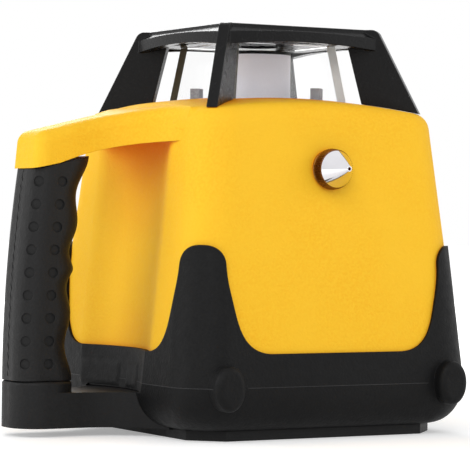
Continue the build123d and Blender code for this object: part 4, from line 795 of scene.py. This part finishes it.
# Soft raised panels, with a flute between them, on the boot's wall below the finger scoop
def panel_mesh(surface, start, end):
    """Panel from one Y to another, which rises from under the wall to its full height."""
    inward = Vector((1.0, 0.0, 0.0))
    vertices = []
    for i in range(PANEL_COLUMNS + 1):
        y = start + (end - start) * i / PANEL_COLUMNS
        for k in range(PANEL_ROWS + 1):
            z = PANEL_LOW + (PANEL_HIGH - PANEL_LOW) * k / PANEL_ROWS
            point, _, _, _ = surface.ray_cast(Vector((-FAR, y, z)), inward)
            inset = min(y - start, end - y, z - PANEL_LOW, PANEL_HIGH - z)
            rise = 0.5 - 0.5 * math.cos(math.pi * min(inset / PANEL_EDGE, 1.0))
            vertices.append(point - (rise * (PANEL_PROUD + PANEL_SINK) - PANEL_SINK) * inward)
    faces = []
    column = PANEL_ROWS + 1
    for i in range(PANEL_COLUMNS):
        for k in range(PANEL_ROWS):
            corner = i * column + k
            faces.append((corner, corner + 1, corner + column + 1, corner + column))
    return backed(vertices, faces, PANEL_BACK * inward)


def boot_panels(material):
    """Both panels as one piece."""
    surface = surface_of("rubber_boot")
    vertices, faces = join_meshes([panel_mesh(surface, start, end) for start, end in PANEL_SPANS])
    piece = add_mesh("boot_panels", vertices, faces)
    smooth_below(piece, SHELL_SHARP)
    finish_piece(piece, "case", material)


# Moulded ribs and rim
def rib_rows(surface, start, inward, across, half, pitch, count):
    """Rows of rounded bars on a flat piece, which taper at their ends."""
    rows = []
    for row in range(count):
        path = []
        for i in range(RIB_STEPS + 1):
            along = 2 * i / RIB_STEPS - 1
            place = start + row * pitch * DOWN + along * half * across
            point, normal, _, _ = surface.ray_cast(place, inward)
            swell = math.sqrt(max(1.0 - along ** RIB_TAPER, RIB_END))
            path.append((point, normal, swell * RIB_HALF, swell * RIB_PROUD))
        rows.append(bead_mesh(path))
    return join_meshes(rows)


def door_ribs(material):
    """Finger ribs near the free edge of the battery door."""
    low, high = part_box("battery_door")
    vertices, faces = rib_rows(
        surface_of("battery_door"),
        start=Vector((FAR, (low.y + high.y) / 2, high.z - DOOR_RIB_INSET)),
        inward=Vector((-1.0, 0.0, 0.0)),
        across=Vector((0.0, 1.0, 0.0)),
        half=DOOR_RIB_HALF,
        pitch=DOOR_RIB_PITCH,
        count=DOOR_RIBS,
    )
    finish_piece(add_mesh("door_ribs", vertices, faces, smooth=True), "door", material)


def cap_ribs(material):
    """Pull ribs on the flap of the charging inlet."""
    low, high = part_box("charge_cap")
    vertices, faces = rib_rows(
        surface_of("charge_cap"),
        start=Vector(((low.x + high.x) / 2, FAR, high.z - CAP_RIB_INSET)),
        inward=Vector((0.0, -1.0, 0.0)),
        across=Vector((1.0, 0.0, 0.0)),
        half=CAP_RIB_HALF,
        pitch=CAP_RIB_PITCH,
        count=CAP_RIBS,
    )
    finish_piece(add_mesh("cap_ribs", vertices, faces, smooth=True), "cap", material)


def keypad_rim(material):
    """Rounded bead round the face of the keypad panel."""
    surface = surface_of("keypad_panel")
    low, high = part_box("keypad_panel")
    centre = (low + high) / 2
    half_x = (high.x - low.x) / 2 - RIM_INSET
    half_z = (high.z - low.z) / 2 - RIM_INSET
    path = []
    for i in range(RIM_STEPS):
        turn = 2 * math.pi * i / RIM_STEPS
        powers = abs(math.cos(turn)) ** RIM_SQUARE + abs(math.sin(turn)) ** RIM_SQUARE
        bow = powers ** (-1 / RIM_SQUARE)
        x = centre.x + half_x * bow * math.cos(turn)
        z = centre.z + half_z * bow * math.sin(turn)
        point, normal, _, _ = surface.ray_cast(Vector((x, FAR, z)), Vector((0.0, -1.0, 0.0)))
        path.append((point, normal, RIM_HALF, RIM_PROUD))
    vertices, faces = bead_mesh(path, closed=True)
    finish_piece(add_mesh("keypad_rim", vertices, faces, smooth=True), "case", material)


# Fairing: a skin stretched over the shell round the arm's root, kept where it bridges the step
def stretched(heights):
    """Skin pinned at its rim and pulled taut over a field of heights."""
    skin = heights.copy()
    for _ in range(FAIRING_ROUNDS):
        mean = (skin[:-2, 1:-1] + skin[2:, 1:-1] + skin[1:-1, :-2] + skin[1:-1, 2:]) / 4
        skin[1:-1, 1:-1] = np.maximum(heights[1:-1, 1:-1], mean)
    return skin


def fairing_mesh(surface, side):
    """Fairing on one side of the arm, -1 or 1 along Y."""
    mirror = Vector((1.0, side, 1.0))
    centre = FAIRING_AT * mirror
    outward = FAIRING_OUT * mirror
    along = (Vector((0.0, 1.0, 0.0)) - outward.y * outward).normalized()
    across = outward.cross(along)
    columns = int(FAIRING_LENGTH / FAIRING_STEP)
    rows = int(FAIRING_WIDTH / FAIRING_STEP)
    heights = np.zeros((columns, rows))
    places = {}
    for i in range(columns):
        for k in range(rows):
            offset = (i - columns / 2) * FAIRING_STEP * along + (k - rows / 2) * FAIRING_STEP * across
            places[i, k] = centre + offset
            start = places[i, k] + FAIRING_LENGTH * outward
            heights[i, k] = FAIRING_LENGTH - surface.ray_cast(start, -outward)[3]
    skin = stretched(heights)
    lifted = skin - heights > FAIRING_LIFT
    vertices = []
    for (i, k), place in places.items():
        vertices.append(place + float(skin[i, k] - FAIRING_SINK) * outward)
    faces = []
    for i in range(1, columns - 2):
        for k in range(1, rows - 2):
            around = lifted[i - 1:i + 3, k - 1:k + 3]
            if around.any():
                corner = i * rows + k
                faces.append((corner, corner + rows, corner + rows + 1, corner + 1))
    return backed(vertices, faces, -FAIRING_BACK * outward)


def arm_root_fairing(material):
    """Fairings of both sides as one piece, without the vertices that no face uses."""
    surface = surface_of("upper_housing")
    vertices, faces = join_meshes([fairing_mesh(surface, side) for side in (-1, 1)])
    piece = add_mesh("arm_root_fairing", vertices, faces)
    shaped = bmesh.new()
    shaped.from_mesh(piece.data)
    loose = [vertex for vertex in shaped.verts if not vertex.link_faces]
    bmesh.ops.delete(shaped, geom=loose, context="VERTS")
    shaped.to_mesh(piece.data)
    shaped.free()
    smooth_below(piece, SHELL_SHARP)
    finish_piece(piece, "case", material)


# Cage with its edges rounded off, most at the roof's four corners
def round_off(shaped, edges, radius, segments):
    """Rounds edges off by a radius."""
    bmesh.ops.bevel(
        shaped,
        geom=edges,
        offset=radius,
        offset_type="OFFSET",
        segments=segments,
        profile=0.5,
        affect="EDGES",
        clamp_overlap=True,
    )


def is_roof_corner(edge, top):
    """True for the short edge at the outer end of a fin's top."""
    middle = (edge.verts[0].co + edge.verts[1].co) / 2
    on_diagonal = abs(abs(middle.x) - abs(middle.y)) < CAGE_DIAGONAL_SLACK
    return on_diagonal and abs(middle.x) > CAGE_CORNER_AT and middle.z > top - CAGE_TOP_SLACK


def rounded_cage(material):
    """Copy of the cage with its flat faces merged and its edges rounded."""
    mesh = frame["nodes"]["guard_cage"].data.copy()
    shaped = bmesh.new()
    shaped.from_mesh(mesh)
    bmesh.ops.remove_doubles(shaped, verts=shaped.verts, dist=CAGE_WELD)
    bmesh.ops.dissolve_limit(shaped, angle_limit=CAGE_FLAT, verts=shaped.verts, edges=shaped.edges)
    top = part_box("guard_cage")[1].z
    corners = [edge for edge in shaped.edges if is_roof_corner(edge, top)]
    round_off(shaped, corners, CAGE_CORNER, CAGE_CORNER_SEGMENTS)
    sharp = [edge for edge in shaped.edges if edge.calc_face_angle(0.0) > CAGE_SHARP]
    round_off(shaped, sharp, CAGE_EDGE, CAGE_EDGE_SEGMENTS)
    shaped.to_mesh(mesh)
    shaped.free()
    mesh.materials.clear()
    piece = add_object("rounded_cage", mesh)
    smooth_below(piece, CAGE_SHARP)
    weighted = piece.modifiers.new("even_shading", "WEIGHTED_NORMAL")
    weighted.keep_sharp = True
    finish_piece(piece, "case", material)
    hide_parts("guard_cage")


# Stage
def seen_directly(tree):
    """1 for rays that show the background: from the camera, off a glossy surface or through glass."""
    path = tree.nodes.new("ShaderNodeLightPath")
    first = combine(tree, "MAXIMUM", path.outputs["Is Camera Ray"], path.outputs["Is Glossy Ray"])
    return combine(tree, "MAXIMUM", first, path.outputs["Is Transmission Ray"])


def floor_white():
    """Matt white that keeps shadows and is lifted towards white away from the object."""
    material = bpy.data.materials.new("floor_white")
    material.use_nodes = True
    tree = material.node_tree
    tree.nodes.clear()
    output = tree.nodes.new("ShaderNodeOutputMaterial")
    matt = tree.nodes.new("ShaderNodeBsdfDiffuse")
    matt.inputs["Color"].default_value = (FLOOR_ALBEDO, FLOOR_ALBEDO, FLOOR_ALBEDO, 1.0)
    away = tree.nodes.new("ShaderNodeVectorMath")
    away.operation = "LENGTH"
    tree.links.new(object_point(tree), away.inputs[0])
    reach = spread(tree, away.outputs["Value"], FLOOR_RINGS, FLOOR_LIFTS)
    lift = tree.nodes.new("ShaderNodeEmission")
    tree.links.new(combine(tree, "MULTIPLY", seen_directly(tree), reach), lift.inputs["Strength"])
    total = tree.nodes.new("ShaderNodeAddShader")
    tree.links.new(matt.outputs["BSDF"], total.inputs[0])
    tree.links.new(lift.outputs["Emission"], total.inputs[1])
    tree.links.new(total.outputs["Shader"], output.inputs["Surface"])
    return material


def add_floor():
    """Wide round floor just below the base plate."""
    rim = []
    for i in range(FLOOR_CORNERS):
        angle = 2 * math.pi * i / FLOOR_CORNERS
        rim.append((FLOOR_RADIUS * math.cos(angle), FLOOR_RADIUS * math.sin(angle), -FLOOR_DROP))
    floor = add_mesh("floor", rim, [tuple(range(FLOOR_CORNERS))])
    floor.data.materials.append(floor_white())


def add_world():
    """White surroundings, dimmer as a light than as a background."""
    world = bpy.data.worlds.new("studio")
    world.use_nodes = True
    tree = world.node_tree
    background = tree.nodes["Background"]
    background.inputs["Color"].default_value = (1.0, 1.0, 1.0, 1.0)
    strength = spread(tree, seen_directly(tree), (0.0, 1.0), (SKY_LIGHT, 1.0))
    tree.links.new(strength, background.inputs["Strength"])
    bpy.context.scene.world = world


def add_lamp(name, place, size, power):
    """Square soft lamp that faces the object."""
    data = bpy.data.lights.new(name, "AREA")
    data.shape = "SQUARE"
    data.size = size
    data.energy = power
    lamp = add_object(name, data)
    lamp.location = place
    lamp.rotation_euler = (AIM - place).to_track_quat("-Z", "Y").to_euler()


def add_camera():
    """Camera of the photograph, from its fitted place and angles."""
    azimuth = math.radians(CAMERA_AZIMUTH)
    elevation = math.radians(CAMERA_ELEVATION)
    roll = math.radians(CAMERA_ROLL)
    level = Vector((math.cos(azimuth), math.sin(azimuth), 0.0))
    back = Vector(
        (
            math.sin(azimuth) * math.cos(elevation),
            -math.cos(azimuth) * math.cos(elevation),
            math.sin(elevation),
        )
    )
    above = back.cross(level)
    right = math.cos(roll) * level + math.sin(roll) * above
    up = math.cos(roll) * above - math.sin(roll) * level
    data = bpy.data.cameras.new("camera")
    data.sensor_width = SENSOR_WIDTH
    data.lens = FOCAL_PIXELS / IMAGE_SIZE * SENSOR_WIDTH
    data.clip_start = CLIP_START
    data.clip_end = CLIP_END
    camera = add_object("camera", data)
    turn = Matrix((right, up, back)).transposed().to_4x4()
    camera.matrix_world = Matrix.Translation(CAMERA_PLACE) @ turn
    bpy.context.scene.camera = camera


finishes = make_materials()
dress_nodes(finishes)
turned_foot(finishes["polished_steel"], finishes["knurled_steel"])
# The parting line's finish is paler than the boot, as a painted highlight
boot_parting_line(finishes["mould_line"])
grip_seam(finishes["black_rubber"])
boot_panels(finishes["black_rubber"])
rounded_cage(finishes["cage_plastic"])
arm_root_fairing(finishes["yellow_shell"])
door_ribs(finishes["black_plastic"])
cap_ribs(finishes["black_rubber"])
keypad_rim(finishes["black_plastic"])
add_camera()
add_floor()
add_world()
for lamp_values in LAMPS:
    add_lamp(*lamp_values)
bpy.context.scene.view_settings.view_transform = "Standard"
